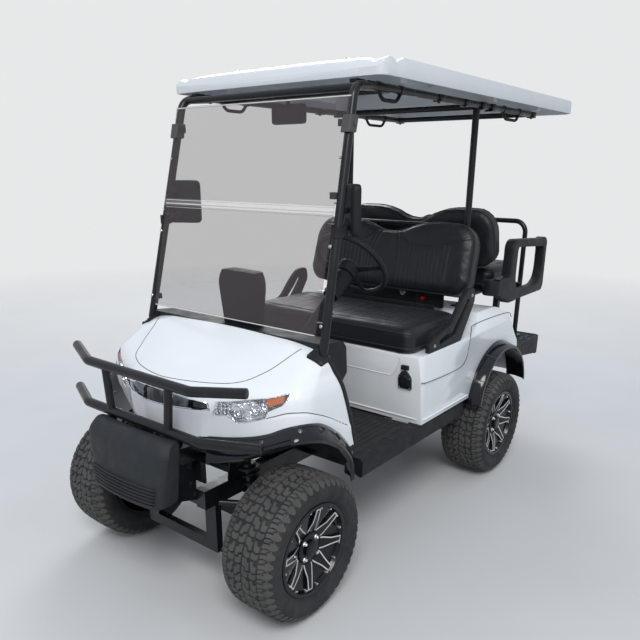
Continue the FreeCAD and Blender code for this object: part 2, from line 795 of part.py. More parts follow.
def rear_armrest():
    """Loop beside the rear seat, with a cup holder at its front."""
    x_in, x_out = ARMREST_X, ARMREST_X + 56
    ring = side_prism([
        (1640, 1028), (1795, 960.3), (1880, 960.3), (1900, 966), (2290, 968), (2312, 1000), (2306, 1230),
        (2290, 1282, 2240, 1284), (1850, 1306), (1800, 1290, 1788, 1240), (1782, 1108), (1640, 1108),
    ], x_in, x_out)
    hole = side_prism([(1880, 1090), (1900, 1040, 1960, 1024), (2120, 1020), (2190, 1040, 2204, 1090),
                       (2196, 1226), (1880, 1244)], x_in - 5, x_out + 5)
    cup = Part.makeCylinder(47, 78, at(x_in + 30, 1600, 1032))
    well = Part.makeCylinder(40, 90, at(x_in + 30, 1600, 1040))
    return fused(ring.cut(hole), cup).cut(well)


feature("rear_armrests", both_sides(rear_armrest()))


def rear_frame():
    """Carrier of the rear footrest, standing on the frame."""
    top = S.footrest_high - 34 - S.fit_gap
    x = S.strut_x
    first, last = 2016, S.footrest_rear_y - 34
    rails = [block(side_x - 18, side_x + 18, first, last, top - 36, top) for side_x in (-x, x)]
    cross = [block(-x, x, y, y + 36, top - 36, top) for y in (first, S.grab_y - 130, last - 36)]
    hangers = [block(side_x - 18, side_x + 18, S.grab_y - 126, S.grab_y - 98, S.rail_high + S.fit_gap, top - 28)
               for side_x in (-S.rail_x, S.rail_x)]
    return fused(rails[0], *(rails[1:] + cross + hangers))


feature("rear_frame", rear_frame())


def grab_bar():
    half = S.grab_half
    low = S.footrest_high + S.fit_gap
    hoop = tube([at(-half, S.grab_y, low), at(-half, S.grab_y, S.grab_high), at(half, S.grab_y, S.grab_high),
                 at(half, S.grab_y, low)], S.tube_bar, 70)
    plates = [Part.makeCylinder(36, 6, at(x, S.grab_y, low)) for x in (-half, half)]
    return fused(hoop, *plates)


feature("grab_bar", grab_bar())


def footrest():
    half = S.footrest_half
    high = S.footrest_high
    box = block(-half, half, S.footrest_front_y, S.footrest_rear_y, high - 34, high)
    skirt = block(-half, half, S.footrest_rear_y - 30, S.footrest_rear_y, high - 120, high)
    cheeks = [side_prism([(S.footrest_front_y, high), (S.footrest_front_y, high - 60),
                          (S.footrest_rear_y, high - 120), (S.footrest_rear_y, high)], x, x + 8)
              for x in (-half, half - 8)]
    return fused(box, skirt, *cheeks)


feature("footrest", footrest())

# Roof


def roof_form(inset):
    half = S.roof_half - inset
    low = S.roof_low - (40 if inset else 0)
    crown = S.roof_low + S.roof_crown - inset
    edge = S.roof_low + 40 - inset
    shoulder, rise = half - 50, crown - edge - 24
    crown_spots = [(shoulder * share, crown - rise * share ** 2) for share in (0.7, 0.4, 0, -0.4, -0.7)]
    section = [
        (-half, low), (half, low), (half, edge), (shoulder, edge + 24),
        *crown_spots, (-shoulder, edge + 24), (-half, edge),
    ]
    slab = front_prism(section, S.roof_front_y - 80, S.roof_rear_y + 20)
    first, last, top = S.roof_front_y - 20, S.roof_rear_y + 20, S.roof_low + S.roof_crown + 20 - inset
    droop = [
        (first, low - 1), (last, low - 1), (last, top - 86), (last - 60, top - 52), (last - 180, top - 28),
        (last - 420, top), (first + 480, top), (first + 260, top - 30), (first + 130, top - 58),
        (first + 60, top - 84), (first, top - 118),
    ]
    slab = slab.common(side_prism(droop, -half - 1, half + 1))
    cut_plan = plan_prism([
        (-half, S.roof_front_y + 24 + inset), (-half + 26, S.roof_front_y + 4 + inset),
        (0, S.roof_front_y + inset, half - 26, S.roof_front_y + 4 + inset),
        (half, S.roof_front_y + 24 + inset), (half, S.roof_rear_y - 60 - inset),
        (half - 60, S.roof_rear_y - inset), (-half + 60, S.roof_rear_y - inset),
        (-half, S.roof_rear_y - 60 - inset),
    ], S.roof_low - 60, S.roof_low + 200)
    return slab.common(cut_plan)


CROSS_BARS = (700, 1556, 2140)


def roof():
    skin = roof_form(0).cut(roof_form(S.roof_wall))
    inside = roof_form(S.roof_wall / 2)
    ribs = [block(-480, 480, y - 20, y + 20, S.roof_low, S.roof_low + 140) for y in CROSS_BARS]
    inside_ribs = [rib.common(inside) for rib in ribs]
    return fused(skin, *inside_ribs)


feature("roof", roof())


def roof_frame():
    r = S.tube_bar
    z = S.roof_low - S.fit_gap - r
    sides = [rod(at(x, 660, z), at(x, 2160, z), r) for x in (-430, 430)]
    bars = [rod(at(-430, y, z), at(430, y, z), r * 0.98) for y in CROSS_BARS]
    return fused(sides[0], *(sides[1:] + bars))


feature("roof_frame", roof_frame())


# Windscreen: two sheets and the strip that they fold on, in the plane of the posts

POST_RUN = (S.post_head_y - S.post_foot_y) / (S.post_head_z - S.post_foot_z)
POST_TURN = math.atan(POST_RUN)


def post_spot(z):
    """The left post's axis at a height."""
    share = (z - S.post_foot_z) / (S.post_head_z - S.post_foot_z)
    return (S.post_foot_x + (S.post_head_x - S.post_foot_x) * share,
            S.post_foot_y + (S.post_head_y - S.post_foot_y) * share)


def front_posts():
    head = at(S.post_head_x, S.post_head_y + 14, S.post_head_z - 3)
    bar = rod(head - Vector(2 * head.x, 0, 0), head, S.tube_post - 3)
    clips = []
    for z in (1110, 1460, 1570, 1820):
        x, y = post_spot(z)
        clips.append(block(x - 44, x, y - 14.6, y + 4, z - 12, z + 12))
    clips += [mirrored(clip) for clip in clips]
    return fused(front_post(), mirrored(front_post()), bar, *clips)


feature("front_posts", front_posts())


def screen_sheet(z_from, z_to, thick, half=None):
    """A sheet across the cart, just ahead of the posts, between two heights."""
    half = half or S.screen_half
    ahead = S.tube_post + S.fit_gap

    def face(z, off):
        y = post_spot(z)[1]
        return (y - (ahead + off) * math.cos(POST_TURN), z + (ahead + off) * math.sin(POST_TURN))

    return side_prism([face(z_from, 0), face(z_to, 0), face(z_to, thick), face(z_from, thick)], -half, half)


feature("windscreen_lower", screen_sheet(1072, 1500, S.screen_thick))
feature("windscreen_upper", screen_sheet(1530, 1908, S.screen_thick))
feature("windscreen_strip", screen_sheet(1500.5, 1529.5, S.screen_thick + 5))

# Steering


def steering_wheel():
    ring = Part.makeTorus(S.steering_radius, S.steering_grip, HUB, OUT)
    hub = rod(HUB - OUT * 62, HUB - OUT * 14, 42)
    spokes = []
    for degrees in (0, 180, 270):
        turn = math.radians(degrees)
        reach = Vector(1, 0, 0) * math.cos(turn) + UP * math.sin(turn)
        spokes.append(rod(HUB - OUT * 34 + reach * 30, HUB + reach * (S.steering_radius - 2), 9))
    return fused(ring, hub, *spokes)


feature("steering_wheel", steering_wheel())


def steering_column():
    start = HUB - OUT * (62 + 0.5)
    lower = HUB - OUT * COLUMN_LONG
    boot = rod(start, HUB - OUT * 190, 34)
    shaft = rod(HUB - OUT * 180, lower, 20)
    return fused(boot, shaft)


feature("steering_column", steering_column())


def pedals():
    """Two pedals, each on an arm from the toe board."""
    out = Vector(0, 192, 92).normalize()
    run = Vector(0, -92, 192).normalize()
    both = []
    for x, wide in ((205, 34), (330, 28)):
        base = at(x, 392 - (590 - 508) * 92 / 192, 590)
        middle = base + out * 36
        corners = [middle + run * a + out * b for a, b in ((-55, 0), (55, 0), (55, 8), (-55, 8))]
        corners = [corner - Vector(wide, 0, 0) for corner in corners]
        plate = Part.Face(Part.makePolygon(corners + corners[:1])).extrude(Vector(2 * wide, 0, 0))
        both.append(fused(plate, rod(base + out * S.fit_gap, middle, 9)))
    return Part.makeCompound(both)


feature("pedals", pedals())

# Mirrors


def side_mirror():
    """Head behind the post, turned out, on a stem from the post."""
    head = rounded_block(-75, 75, -AXLE_Y - 17, -AXLE_Y + 17, -95, 95, 15)
    head.rotate(Vector(0, 0, 0), Vector(0, 0, 1), -32)
    head.translate(at(466, 375, 1517))
    x, y = post_spot(1517)
    stem = rod(at(x, y + S.tube_post + 3.2, 1517), at(472, 372, 1517), 9)
    return fused(head, stem)


feature("side_mirrors", both_sides(side_mirror()))


def cabin_mirror():
    """Mirror behind the screen, on an arm from the posts' crossbar."""
    glass = rounded_block(-82, 102, 546, 570, 1838, 1918, 10)
    bar_y, bar_z = S.post_head_y + 14, S.post_head_z - 3
    first = S.tube_post - 3 + S.fit_gap
    arm = tube([at(10, bar_y + first, bar_z), at(10, 558, bar_z), at(10, 558, 1900)], 8, 20)
    return fused(glass, arm)


feature("cabin_mirror", cabin_mirror())

# Suspension and axles


def suspension_arms():
    """Upper and lower wishbones between the frame and the ball joints."""
    x_in = S.rail_x + S.rail_width / 2 + 8
    x_out = S.kingpin_x
    z = S.tyre_radius
    half = S.kingpin_half + 15.5

    def arm(height, inner_height):
        legs = [rod(at(x_in, y, inner_height), at(x_out - 10, y * 0.06, height), 13) for y in (-125, 125)]
        eye = Part.makeCylinder(22, 20, at(x_out, 0, height - 10))
        bore = Part.makeCylinder(10 + S.fit_gap, 60, at(x_out, 0, height - 30))
        if height < z:
            share = (318 - x_in) / (x_out - 10 - x_in)
            y, up = 125 - share * (125 * 0.94), inner_height + share * (height - inner_height)
            legs.append(rod(at(318, -y, up), at(318, y, up), 9))
        return fused(eye, *legs).cut(bore)

    upper = arm(z + half, z + half + 12)
    lower = arm(z - half, z - half + 30)
    return Part.makeCompound([upper, lower, mirrored(upper), mirrored(lower)])


feature("suspension_arms", suspension_arms())


def shock(x_low, y_low, z_low, x_high, y_high, z_high, radius):
    start, end = at(x_low, y_low, z_low), at(x_high, y_high, z_high)
    way = (end - start)
    return fused(rod(start, end, 10), rod(start + way * 0.35, end - way * 0.08, radius))


feature("front_shocks", both_sides(shock(318, 0, 199, 262, 0, 590, 28)))


def rear_axle():
    y, z = REAR_AXLE, S.tyre_radius
    hub_face = S.track_rear_half + S.rim_face - 36 - S.fit_gap
    tubes = rod(at(-hub_face, y, z), at(hub_face, y, z), 38)
    drums = [rod(at(x, y, z), at(x + hand * 60, y, z), 110)
             for x, hand in ((S.track_rear_half - 70, 1), (-S.track_rear_half + 70, -1))]
    case = rounded_block(-40, 150, y - 110, y + 110, z - 95, z + 100, 20)
    motor = rod(at(-210, y + 150, z + 5), at(-30, y + 150, z + 5), 88)
    neck = block(-60, -20, y + 40, y + 160, z - 30, z + 50)
    return fused(tubes, case, motor, neck, *drums)


feature("rear_axle", rear_axle())


def leaf_springs():
    x = 300
    y = REAR_AXLE
    stack = []
    for number, half in enumerate((430, 300, 180)):
        z = 261.7 - number * 9
        tip = z + 60 * (half / 430) ** 2
        leaf = [(y - half, tip + 8), (y, z - 8, y + half, tip + 8), (y + half, tip), (y, z - 16, y - half, tip)]
        stack.append(side_prism(leaf, x - 28, x + 28))
    return both_sides(fused(stack[0], *stack[1:]))


feature("leaf_springs", leaf_springs())

battery = doc.addObject("Part::Box", "battery_pack")
bind(battery, Length=C.seat_half * 1.4, Width=400, Height=270, Placement_Base_x=-C.seat_half * 0.7,
     Placement_Base_y=C.axle_front_y + 910, Placement_Base_z=C.rail_high + C.fit_gap)
keep(battery, "battery_pack")


def seat_box_front(z):
    """The seat box's front face, which leans forward with its height."""
    return 866 - (z - 516) * 38 / 341 - S.fit_gap


def charger_socket():
    return side_prism([(seat_box_front(700), 700), (seat_box_front(770), 770),
                       (seat_box_front(770) - 10, 770), (seat_box_front(700) - 10, 700)], 430, 480)


feature("charger_socket", charger_socket())


def tail_lamps():
    out = Vector(0, 191, 29).normalize()
    face = at(470, 2014 - (640 - 516) * 29 / 191, 640)
    return both_sides(Part.makeCylinder(40, 14, face + out * S.fit_gap, out))


feature("tail_lamps", tail_lamps())

# Check every object and write the sub-parts

doc.recompute()
for thing in doc.Objects:
    if "Invalid" in thing.State or "Error" in thing.State:
        raise RuntimeError("%s is %s" % (thing.Name, thing.State))
os.makedirs("parts", exist_ok=True)
for node in NODES:
    shape = node.Shape
    if shape.isNull() or not shape.isValid() or not shape.Solids:
        raise RuntimeError("%s has no valid solid" % node.Label)
    shape.exportStep("parts/%s.step" % node.Label)
box = FreeCAD.BoundBox()
for node in NODES:
    box.add(node.Shape.BoundBox)
print("box", [round(v, 1) for v in (box.XMin, box.XMax, box.YMin, box.YMax, box.ZMin, box.ZMax)])
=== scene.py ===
"""Looks of the golf cart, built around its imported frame. Lengths in the tables are in millimetres."""
import bmesh
import bpy
import json
import math
import numpy as np
from mathutils import Matrix, Vector
from mathutils.bvhtree import BVHTree

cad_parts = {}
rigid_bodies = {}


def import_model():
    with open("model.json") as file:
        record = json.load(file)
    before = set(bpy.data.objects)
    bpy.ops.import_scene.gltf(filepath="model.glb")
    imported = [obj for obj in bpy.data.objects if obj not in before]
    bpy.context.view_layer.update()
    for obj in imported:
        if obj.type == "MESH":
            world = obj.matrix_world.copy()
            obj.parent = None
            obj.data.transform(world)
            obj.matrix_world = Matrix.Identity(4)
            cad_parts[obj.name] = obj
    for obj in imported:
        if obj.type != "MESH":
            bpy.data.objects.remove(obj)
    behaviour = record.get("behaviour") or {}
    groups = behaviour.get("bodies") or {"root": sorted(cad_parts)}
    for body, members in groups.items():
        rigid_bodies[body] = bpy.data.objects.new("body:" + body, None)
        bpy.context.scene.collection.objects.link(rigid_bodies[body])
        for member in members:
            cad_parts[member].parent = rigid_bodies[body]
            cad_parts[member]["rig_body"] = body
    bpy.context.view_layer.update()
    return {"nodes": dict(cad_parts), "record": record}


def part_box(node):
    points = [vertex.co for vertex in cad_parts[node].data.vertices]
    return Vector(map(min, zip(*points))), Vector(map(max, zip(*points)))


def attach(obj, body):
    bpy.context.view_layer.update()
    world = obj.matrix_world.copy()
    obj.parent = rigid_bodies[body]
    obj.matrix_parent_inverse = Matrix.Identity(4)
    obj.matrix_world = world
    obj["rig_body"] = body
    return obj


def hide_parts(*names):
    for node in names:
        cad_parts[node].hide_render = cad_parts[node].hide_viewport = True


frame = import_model()
NODES = frame["nodes"]
CHASSIS = "chassis"

# Places, in millimetres back from the front axle, up from the ground and out from the middle


def box_middle(node):
    low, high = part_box(node)
    return (low + high) / 2


FRONT_AXLE = box_middle("tyre_front_left")
SIDES = ((1, "left"), (-1, "right"))
RIGHT, BACK, UP = Vector((1, 0, 0)), Vector((0, 1, 0)), Vector((0, 0, 1))


def at(x, y, z):
    """A place in the frame, in metres."""
    return Vector((x / 1000, FRONT_AXLE.y + y / 1000, z / 1000))


# Camera, solved from the photograph

CAMERA_AT = (1914.8, -1635.3, 1658.3)
CAMERA_YAW, CAMERA_PITCH, CAMERA_ROLL = (math.radians(v) for v in (37.95, 19.17, 0.39))
FOCAL_PIXELS = 637.9
PRINCIPAL_X, PRINCIPAL_Y = 322.9, 391.8
PHOTO_SIZE = 640
SENSOR = 36.0


def add_camera():
    data = bpy.data.cameras.new("camera")
    camera = bpy.data.objects.new("camera", data)
    bpy.context.scene.collection.objects.link(camera)
    data.sensor_width = SENSOR
    data.lens = FOCAL_PIXELS / PHOTO_SIZE * SENSOR
    data.shift_x = (PHOTO_SIZE / 2 - PRINCIPAL_X) / PHOTO_SIZE
    data.shift_y = (PRINCIPAL_Y - PHOTO_SIZE / 2) / PHOTO_SIZE
    data.clip_end = 200
    yaw, pitch, roll = CAMERA_YAW, CAMERA_PITCH, CAMERA_ROLL
    ahead = Vector((-math.sin(yaw) * math.cos(pitch), math.cos(yaw) * math.cos(pitch), -math.sin(pitch)))
    level = Vector((math.cos(yaw), math.sin(yaw), 0))
    over = level.cross(ahead)
    right = level * math.cos(roll) + over * math.sin(roll)
    up = over * math.cos(roll) - level * math.sin(roll)
    turn = Matrix((right, up, -ahead)).transposed()
    camera.matrix_world = Matrix.Translation(at(*CAMERA_AT)) @ turn.to_4x4()
    bpy.context.scene.camera = camera


add_camera()

# Materials


class Paint:
    """A material with a Principled shader, and short ways to add its noise, bump and colour nodes."""

    def __init__(self, name, color, rough, **sockets):
        self.material = bpy.data.materials.new(name)
        self.material.use_nodes = True
        self.tree = self.material.node_tree
        self.shader = self.tree.nodes["Principled BSDF"]
        self.color = (*color, 1)
        self.shader.inputs["Base Color"].default_value = self.color
        self.shader.inputs["Roughness"].default_value = rough
        for socket, value in sockets.items():
            self.shader.inputs[socket.replace("_", " ")].default_value = value
        self.spot = self.node("ShaderNodeTexCoord").outputs["Object"]
        self.normal = None

    def node(self, kind, **values):
        made = self.tree.nodes.new(kind)
        for key, value in values.items():
            if key in made.inputs:
                made.inputs[key].default_value = value
            else:
                setattr(made, key, value)
        return made

    def link(self, start, end):
        self.tree.links.new(start, end)

    def noise(self, scale, detail=3.0, rough=0.5, stretch=None):
        made = self.node("ShaderNodeTexNoise", Scale=scale, Detail=detail, Roughness=rough)
        source = self.spot
        if stretch:
            mapping = self.node("ShaderNodeMapping")
            mapping.inputs["Scale"].default_value = stretch
            self.link(source, mapping.inputs["Vector"])
            source = mapping.outputs["Vector"]
        self.link(source, made.inputs["Vector"])
        return made.outputs["Fac"]

    def cells(self, scale, feature="F1"):
        made = self.node("ShaderNodeTexVoronoi", Scale=scale, feature=feature)
        self.link(self.spot, made.inputs["Vector"])
        return made.outputs["Distance"]

    def span(self, source, low, high, from_low=0.3, from_high=0.7):
        made = self.node("ShaderNodeMapRange")
        for socket, value in (("From Min", from_low), ("From Max", from_high), ("To Min", low),
                              ("To Max", high)):
            made.inputs[socket].default_value = value
        self.link(source, made.inputs["Value"])
        return made.outputs["Result"]

    def rough(self, source, low, high):
        self.link(self.span(source, low, high), self.shader.inputs["Roughness"])
        return self

    def tint(self, source, other, low=0.35, high=0.65, share=1.0):
        """Mix another colour in where the source is high."""
        mix = self.node("ShaderNodeMix", data_type="RGBA")
        socket = self.shader.inputs["Base Color"]
        if socket.is_linked:
            self.link(socket.links[0].from_socket, mix.inputs[6])
        else:
            mix.inputs[6].default_value = self.color
        mix.inputs[7].default_value = (*other, 1)
        self.link(self.span(source, 0, share, low, high), mix.inputs[0])
        self.link(mix.outputs[2], socket)
        return self

    def bump(self, source, strength, distance):
        made = self.node("ShaderNodeBump", Strength=strength, Distance=distance)
        self.link(source, made.inputs["Height"])
        if self.normal:
            self.link(self.normal, made.inputs["Normal"])
        self.normal = made.outputs["Normal"]
        self.link(self.normal, self.shader.inputs["Normal"])
        return self


DUST = (0.16, 0.145, 0.12)


def gloss_white(name, color, rough):
    paint = Paint(name, color, rough, Coat_Weight=0.35, Coat_Roughness=0.04)
    paint.tint(paint.noise(2.2, 4), tuple(v * 0.955 for v in color))
    paint.tint(paint.noise(60, 5, 0.7), tuple(v * 0.9 for v in color), 0.6, 0.85, 0.5)
    paint.rough(paint.noise(9, 4), rough * 0.8, rough * 1.5)
    return paint.bump(paint.noise(26, 2), 0.05, 0.001)


def moulded_black(name, color, rough, grain, depth, dusty=0.25):
    """Moulded plastic with a pebbled grain and a little dust."""
    paint = Paint(name, color, rough, Specular_IOR_Level=0.22)
    paint.tint(paint.noise(7, 6, 0.65), DUST, 0.55, 0.85, dusty)
    paint.rough(paint.noise(18, 4), rough * 0.85, min(1, rough * 1.25))
    paint.bump(paint.cells(grain), 0.6, depth)
    return paint.bump(paint.noise(grain * 0.6, 4), 0.25, depth)


def gloss_black(name, color, rough, coat):
    paint = Paint(name, color, rough, Coat_Weight=coat, Coat_Roughness=0.05, Specular_IOR_Level=0.3)
    paint.tint(paint.noise(5, 6, 0.7), (0.03, 0.031, 0.033), 0.55, 0.85, 0.4)
    paint.rough(paint.noise(14, 5), rough * 0.7, rough * 1.6)
    return paint.bump(paint.noise(45, 3), 0.08, 0.0006)


def steel(name, color, rough, metal=1.0):
    paint = Paint(name, color, rough, Metallic=metal)
    paint.tint(paint.noise(12, 5), tuple(v * 0.72 for v in color), 0.45, 0.8)
    paint.rough(paint.noise(40, 4, stretch=(1, 1, 6)), rough * 0.7, rough * 1.4)
    return paint.bump(paint.noise(160, 2), 0.12, 0.0003)


def rubber(name, color, dust, low, high):
    """Tyre rubber, dusty in blotches and finely rough."""
    paint = Paint(name, color, 0.82)
    paint.tint(paint.noise(9, 8, 0.7), dust, low, high, 0.85)
    paint.tint(paint.noise(140, 3), tuple(v * 1.5 for v in dust), 0.62, 0.8, 0.4)
    paint.rough(paint.noise(30, 4), 0.68, 0.95)
    return paint.bump(paint.noise(320, 4, 0.7), 0.5, 0.0008)


def vinyl(name, color):
    """Seat vinyl: a fine leather grain with soft creases."""
    paint = Paint(name, color, 0.42, Sheen_Weight=0.06, Sheen_Roughness=0.4, Specular_IOR_Level=0.42)
    paint.tint(paint.noise(4, 5), tuple(v * 1.9 for v in color), 0.4, 0.8, 0.6)
    paint.rough(paint.noise(20, 4), 0.34, 0.55)
    paint.bump(paint.cells(420, "SMOOTH_F1"), 0.35, 0.0007)
    return paint.bump(paint.noise(34, 5), 0.25, 0.0022)


def clear_sheet(name, color, alpha, rough=0.03):
    paint = Paint(name, color, rough, Alpha=alpha, Specular_IOR_Level=0.5, Coat_Weight=0.3,
                  Coat_Roughness=0.02)
    paint.tint(paint.noise(3, 4), tuple(v * 0.9 for v in color), 0.4, 0.75)
    return paint.bump(paint.noise(5, 2), 0.03, 0.002)


def crystal(name, color, rough):
    """Bright faceted lining of a lamp, or dark chrome when its colour is dark."""
    paint = Paint(name, color, rough, Metallic=0.9)
    dark = sum(color) < 0.6
    paint.tint(paint.noise(9, 3, stretch=(1, 0.2, 0.5)), tuple(v * (6 if dark else 0.45) for v in color),
               0.5, 0.7)
    paint.rough(paint.noise(30, 3), rough * 0.7, rough * 1.4)
    return paint.bump(paint.cells(12 if dark else 110), 0.1 if dark else 0.8, 0.002)


PAINT_ROWS = (
    (gloss_white, "body_white", (0.80, 0.83, 0.86), 0.14),
    # The roof's white is a darker copy of the body white: painted shade that offsets the key lamp's light on
    # its top.
    (gloss_white, "roof_white", (0.60, 0.638, 0.666), 0.36),
    (moulded_black, "black_plastic", (0.012, 0.0135, 0.016), 0.5, 700, 0.0006, 0.14),
    (moulded_black, "bumper_plastic", (0.025, 0.028, 0.032), 0.56, 380, 0.0012, 0.2),
    (gloss_black, "flare_gloss", (0.004, 0.005, 0.008), 0.12, 0.3),
    (gloss_black, "black_steel", (0.007, 0.008, 0.010), 0.3, 0.14),
    (steel, "bare_steel", (0.55, 0.55, 0.57), 0.32),
    (steel, "dark_bolt", (0.16, 0.165, 0.18), 0.3),
    # Dark grey for the painted shade line along the rear body's side fold.
    (moulded_black, "fold_grey", (0.10, 0.12, 0.15), 0.5, 400, 0.0002, 0.0),
    (steel, "bright_trim", (0.86, 0.87, 0.9), 0.05),
    (steel, "machined", (0.88, 0.88, 0.9), 0.33),
    (gloss_black, "red_lens", (0.42, 0.012, 0.012), 0.12, 0.9),
    (gloss_black, "amber_lens", (0.46, 0.10, 0.002), 0.2, 0.15),
    (moulded_black, "floor_rubber", (0.026, 0.026, 0.027), 0.62, 300, 0.0008, 0.3),
    (vinyl, "seat_vinyl", (0.0065, 0.008, 0.0115)),
    (moulded_black, "piping", (0.03, 0.032, 0.036), 0.4, 900, 0.0002, 0.05),
    (moulded_black, "cast_parts", (0.035, 0.035, 0.037), 0.5, 240, 0.0012, 0.5),
    (moulded_black, "battery_case", (0.06, 0.06, 0.06), 0.6, 300, 0.0006),
    (gloss_black, "black_rim", (0.003, 0.003, 0.004), 0.2, 0.12),
    (rubber, "tyre_rubber", (0.014, 0.016, 0.019), (0.038, 0.037, 0.036), 0.42, 0.7),
    (rubber, "tread_rubber", (0.044, 0.044, 0.045), (0.082, 0.079, 0.074), 0.3, 0.62),
    # Dark grey lines: on the cowl they are painted shade along the hood seam's groove and the crease over
    # the front wheel; they also mark lines beside the rear flares' ribs.
    (moulded_black, "seam", (0.05, 0.055, 0.06), 0.7, 400, 0.0002, 0.0),
    (clear_sheet, "tinted_sheet", (0.10, 0.08, 0.085), 0.25),
    (clear_sheet, "screen_strip", (0.5, 0.47, 0.47), 0.2, 0.08),
    (clear_sheet, "lamp_lens", (0.9, 0.93, 0.96), 0.045),
    (steel, "mirror_glass", (0.8, 0.82, 0.85), 0.03),
    (moulded_black, "cast_black", (0.013, 0.015, 0.018), 0.46, 420, 0.0006, 0.12),
    (crystal, "lamp_housing", (0.78, 0.8, 0.83), 0.24),
    (crystal, "dark_chrome", (0.05, 0.055, 0.06), 0.06),
    (clear_sheet, "sheet_edge", (0.85, 0.84, 0.83), 0.85, 0.25),
    (moulded_black, "clamp_grey", (0.07, 0.072, 0.078), 0.4, 500, 0.0003, 0.1),
    (steel, "lamp_bright", (0.82, 0.84, 0.88), 0.08),
)
PAINTS = {row[1]: row[0](*row[1:]) for row in PAINT_ROWS}
for row in frame["record"]["subparts"]:
    NODES[row["node"]].data.materials.clear()
    NODES[row["node"]].data.materials.append(PAINTS[row["material_slot"]].material)

# Making meshes

SHARP_EDGE = 38
MERGE_DISTANCE = 1e-6
CORNER_SHARE = 0.48


def mesh_piece(name, verts, faces, merge=0.0):
    """An object from points in metres and faces, with its normals turned outward."""
    mesh = bpy.data.meshes.new(name)
    mesh.from_pydata([tuple(v) for v in verts], [], faces)
    work = bmesh.new()
    work.from_mesh(mesh)
    if merge:
        bmesh.ops.remove_doubles(work, verts=work.verts, dist=merge)
    bmesh.ops.recalc_face_normals(work, faces=work.faces)
    work.to_mesh(mesh)
    work.free()
    thing = bpy.data.objects.new(name, mesh)
    bpy.context.scene.collection.objects.link(thing)
    return thing


def finish_piece(thing, paint, body=CHASSIS, replaces=(), sharp=SHARP_EDGE):
    """Paint, shading and body of a piece, and hiding of the parts it replaces. sharp is in degrees."""
    thing.data.materials.clear()
    thing.data.materials.append(PAINTS[paint].material)
    thing.data.polygons.foreach_set("use_smooth", [True] * len(thing.data.polygons))
    thing.data.set_sharp_from_angle(angle=math.radians(sharp))
    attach(thing, body)
    if replaces:
        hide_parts(*replaces)
    return thing


class Form:
    """Points and faces gathered from several shapes into one piece."""

    def __init__(self):
        self.verts, self.faces = [], []

    def add(self, verts, faces):
        start = len(self.verts)
        self.verts += [Vector(v) for v in verts]
        self.faces += [tuple(start + i for i in face) for face in faces]
        return self

    def skin(self, rings, closed=True, loop=False, caps=True):
        """Quads between rings of points. closed joins a ring to itself, loop the last ring to the first."""
        size, count = len(rings[0]), len(rings)
        faces = []
        for r in range(count if loop else count - 1):
            near, far = r * size, (r + 1) % count * size
            for i in range(size if closed else size - 1):
                j = (i + 1) % size
                faces.append((near + i, near + j, far + j, far + i))
        if caps and closed and not loop:
            faces.append(tuple(range(size))[::-1])
            faces.append(tuple((count - 1) * size + i for i in range(size)))
        return self.add([p for ring in rings for p in ring], faces)

    def mirror(self):
        """Add the same shapes on the other side of the middle."""
        verts, faces = list(self.verts), list(self.faces)
        return self.add([Vector((-v.x, v.y, v.z)) for v in verts], [face[::-1] for face in faces])

    def moved(self, change, start=0):
        self.verts[start:] = [change(v) for v in self.verts[start:]]
        return self

    def make(self, name, paint, **options):
        return finish_piece(mesh_piece(name, self.verts, self.faces, MERGE_DISTANCE), paint, **options)


def run_through(points, steps):
    """A smooth run of points through the given ones, Catmull-Rom, with steps in each gap."""
    points = [Vector(p) for p in points]
    padded = [points[0] * 2 - points[1], *points, points[-1] * 2 - points[-2]]
    run = []
    for before, start, end, after in zip(padded, padded[1:], padded[2:], padded[3:]):
        for t in (step / steps for step in range(steps)):
            run.append(0.5 * ((2 * start) + (end - before) * t
                              + (2 * before - 5 * start + 4 * end - after) * t * t
                              + (3 * start - before - 3 * end + after) * t ** 3))
    return run + [points[-1]]


def smooth_line(points, steps=5):
    """The same for flat points (a, b)."""
    return [(p.x, p.y) for p in run_through([(a, b, 0) for a, b in points], steps)]


def around(count):
    """Equal steps of a full turn, in radians."""
    return [2 * math.pi * k / count for k in range(count)]


def once(hand, node):
    """The left piece stands for a node that holds both sides."""
    return (node,) if hand > 0 else ()


def even_steps(start, end, steps):
    return [start + (end - start) * k / steps for k in range(steps + 1)]


def tube(form, points, radius, sides=12, loop=False):
    """A round bar along points in metres. radius is in millimetres, one value or one for each point."""
    count = len(points)
    radii = radius if isinstance(radius, (list, tuple)) else [radius] * count
    rings = []
    across = None
    for i, spot in enumerate(points):
        before = points[(i - 1) % count] if loop or i else spot
        after = points[(i + 1) % count] if loop or i < count - 1 else spot
        along = (after - before).normalized()
        if across is None:
            across = along.orthogonal().normalized()
        across = (across - along * across.dot(along)).normalized()
        over = along.cross(across)
        rings.append(circle(spot, (across, over), radii[i], sides))
    return form.skin(rings, loop=loop)


def corner_run(before, corner, after, radius, steps):
    """A corner rounded to a radius, as a run of points."""
    into, out = corner - before, after - corner
    cut = min(radius, into.length * CORNER_SHARE, out.length * CORNER_SHARE)
    start, end = corner - into.normalized() * cut, corner + out.normalized() * cut
    return [start * (1 - t) ** 2 + corner * 2 * t * (1 - t) + end * t * t
            for t in (step / steps for step in range(steps + 1))]


def rounded(points, radius, steps=5):
    """A run through the points with each inner corner rounded to a radius in metres."""
    run = [points[0]]
    for before, corner, after in zip(points, points[1:], points[2:]):
        run += corner_run(before, corner, after, radius, steps)
    return run + [points[-1]]


def rounded_loop(points, radius, steps=4):
    """The same for a closed outline of flat points (a, b) in millimetres."""
    count = len(points)
    sizes = radius if isinstance(radius, (list, tuple)) else [radius] * count
    run = []
    for i in range(count):
        run += corner_run(*(Vector(points[(i + k) % count]) for k in (-1, 0, 1)), sizes[i], steps)
    return run


def box_loop(low_a, low_b, high_a, high_b, radius, steps=4):
    """A rounded rectangle as a closed outline."""
    return rounded_loop([(low_a, low_b), (high_a, low_b), (high_a, high_b), (low_a, high_b)], radius, steps)


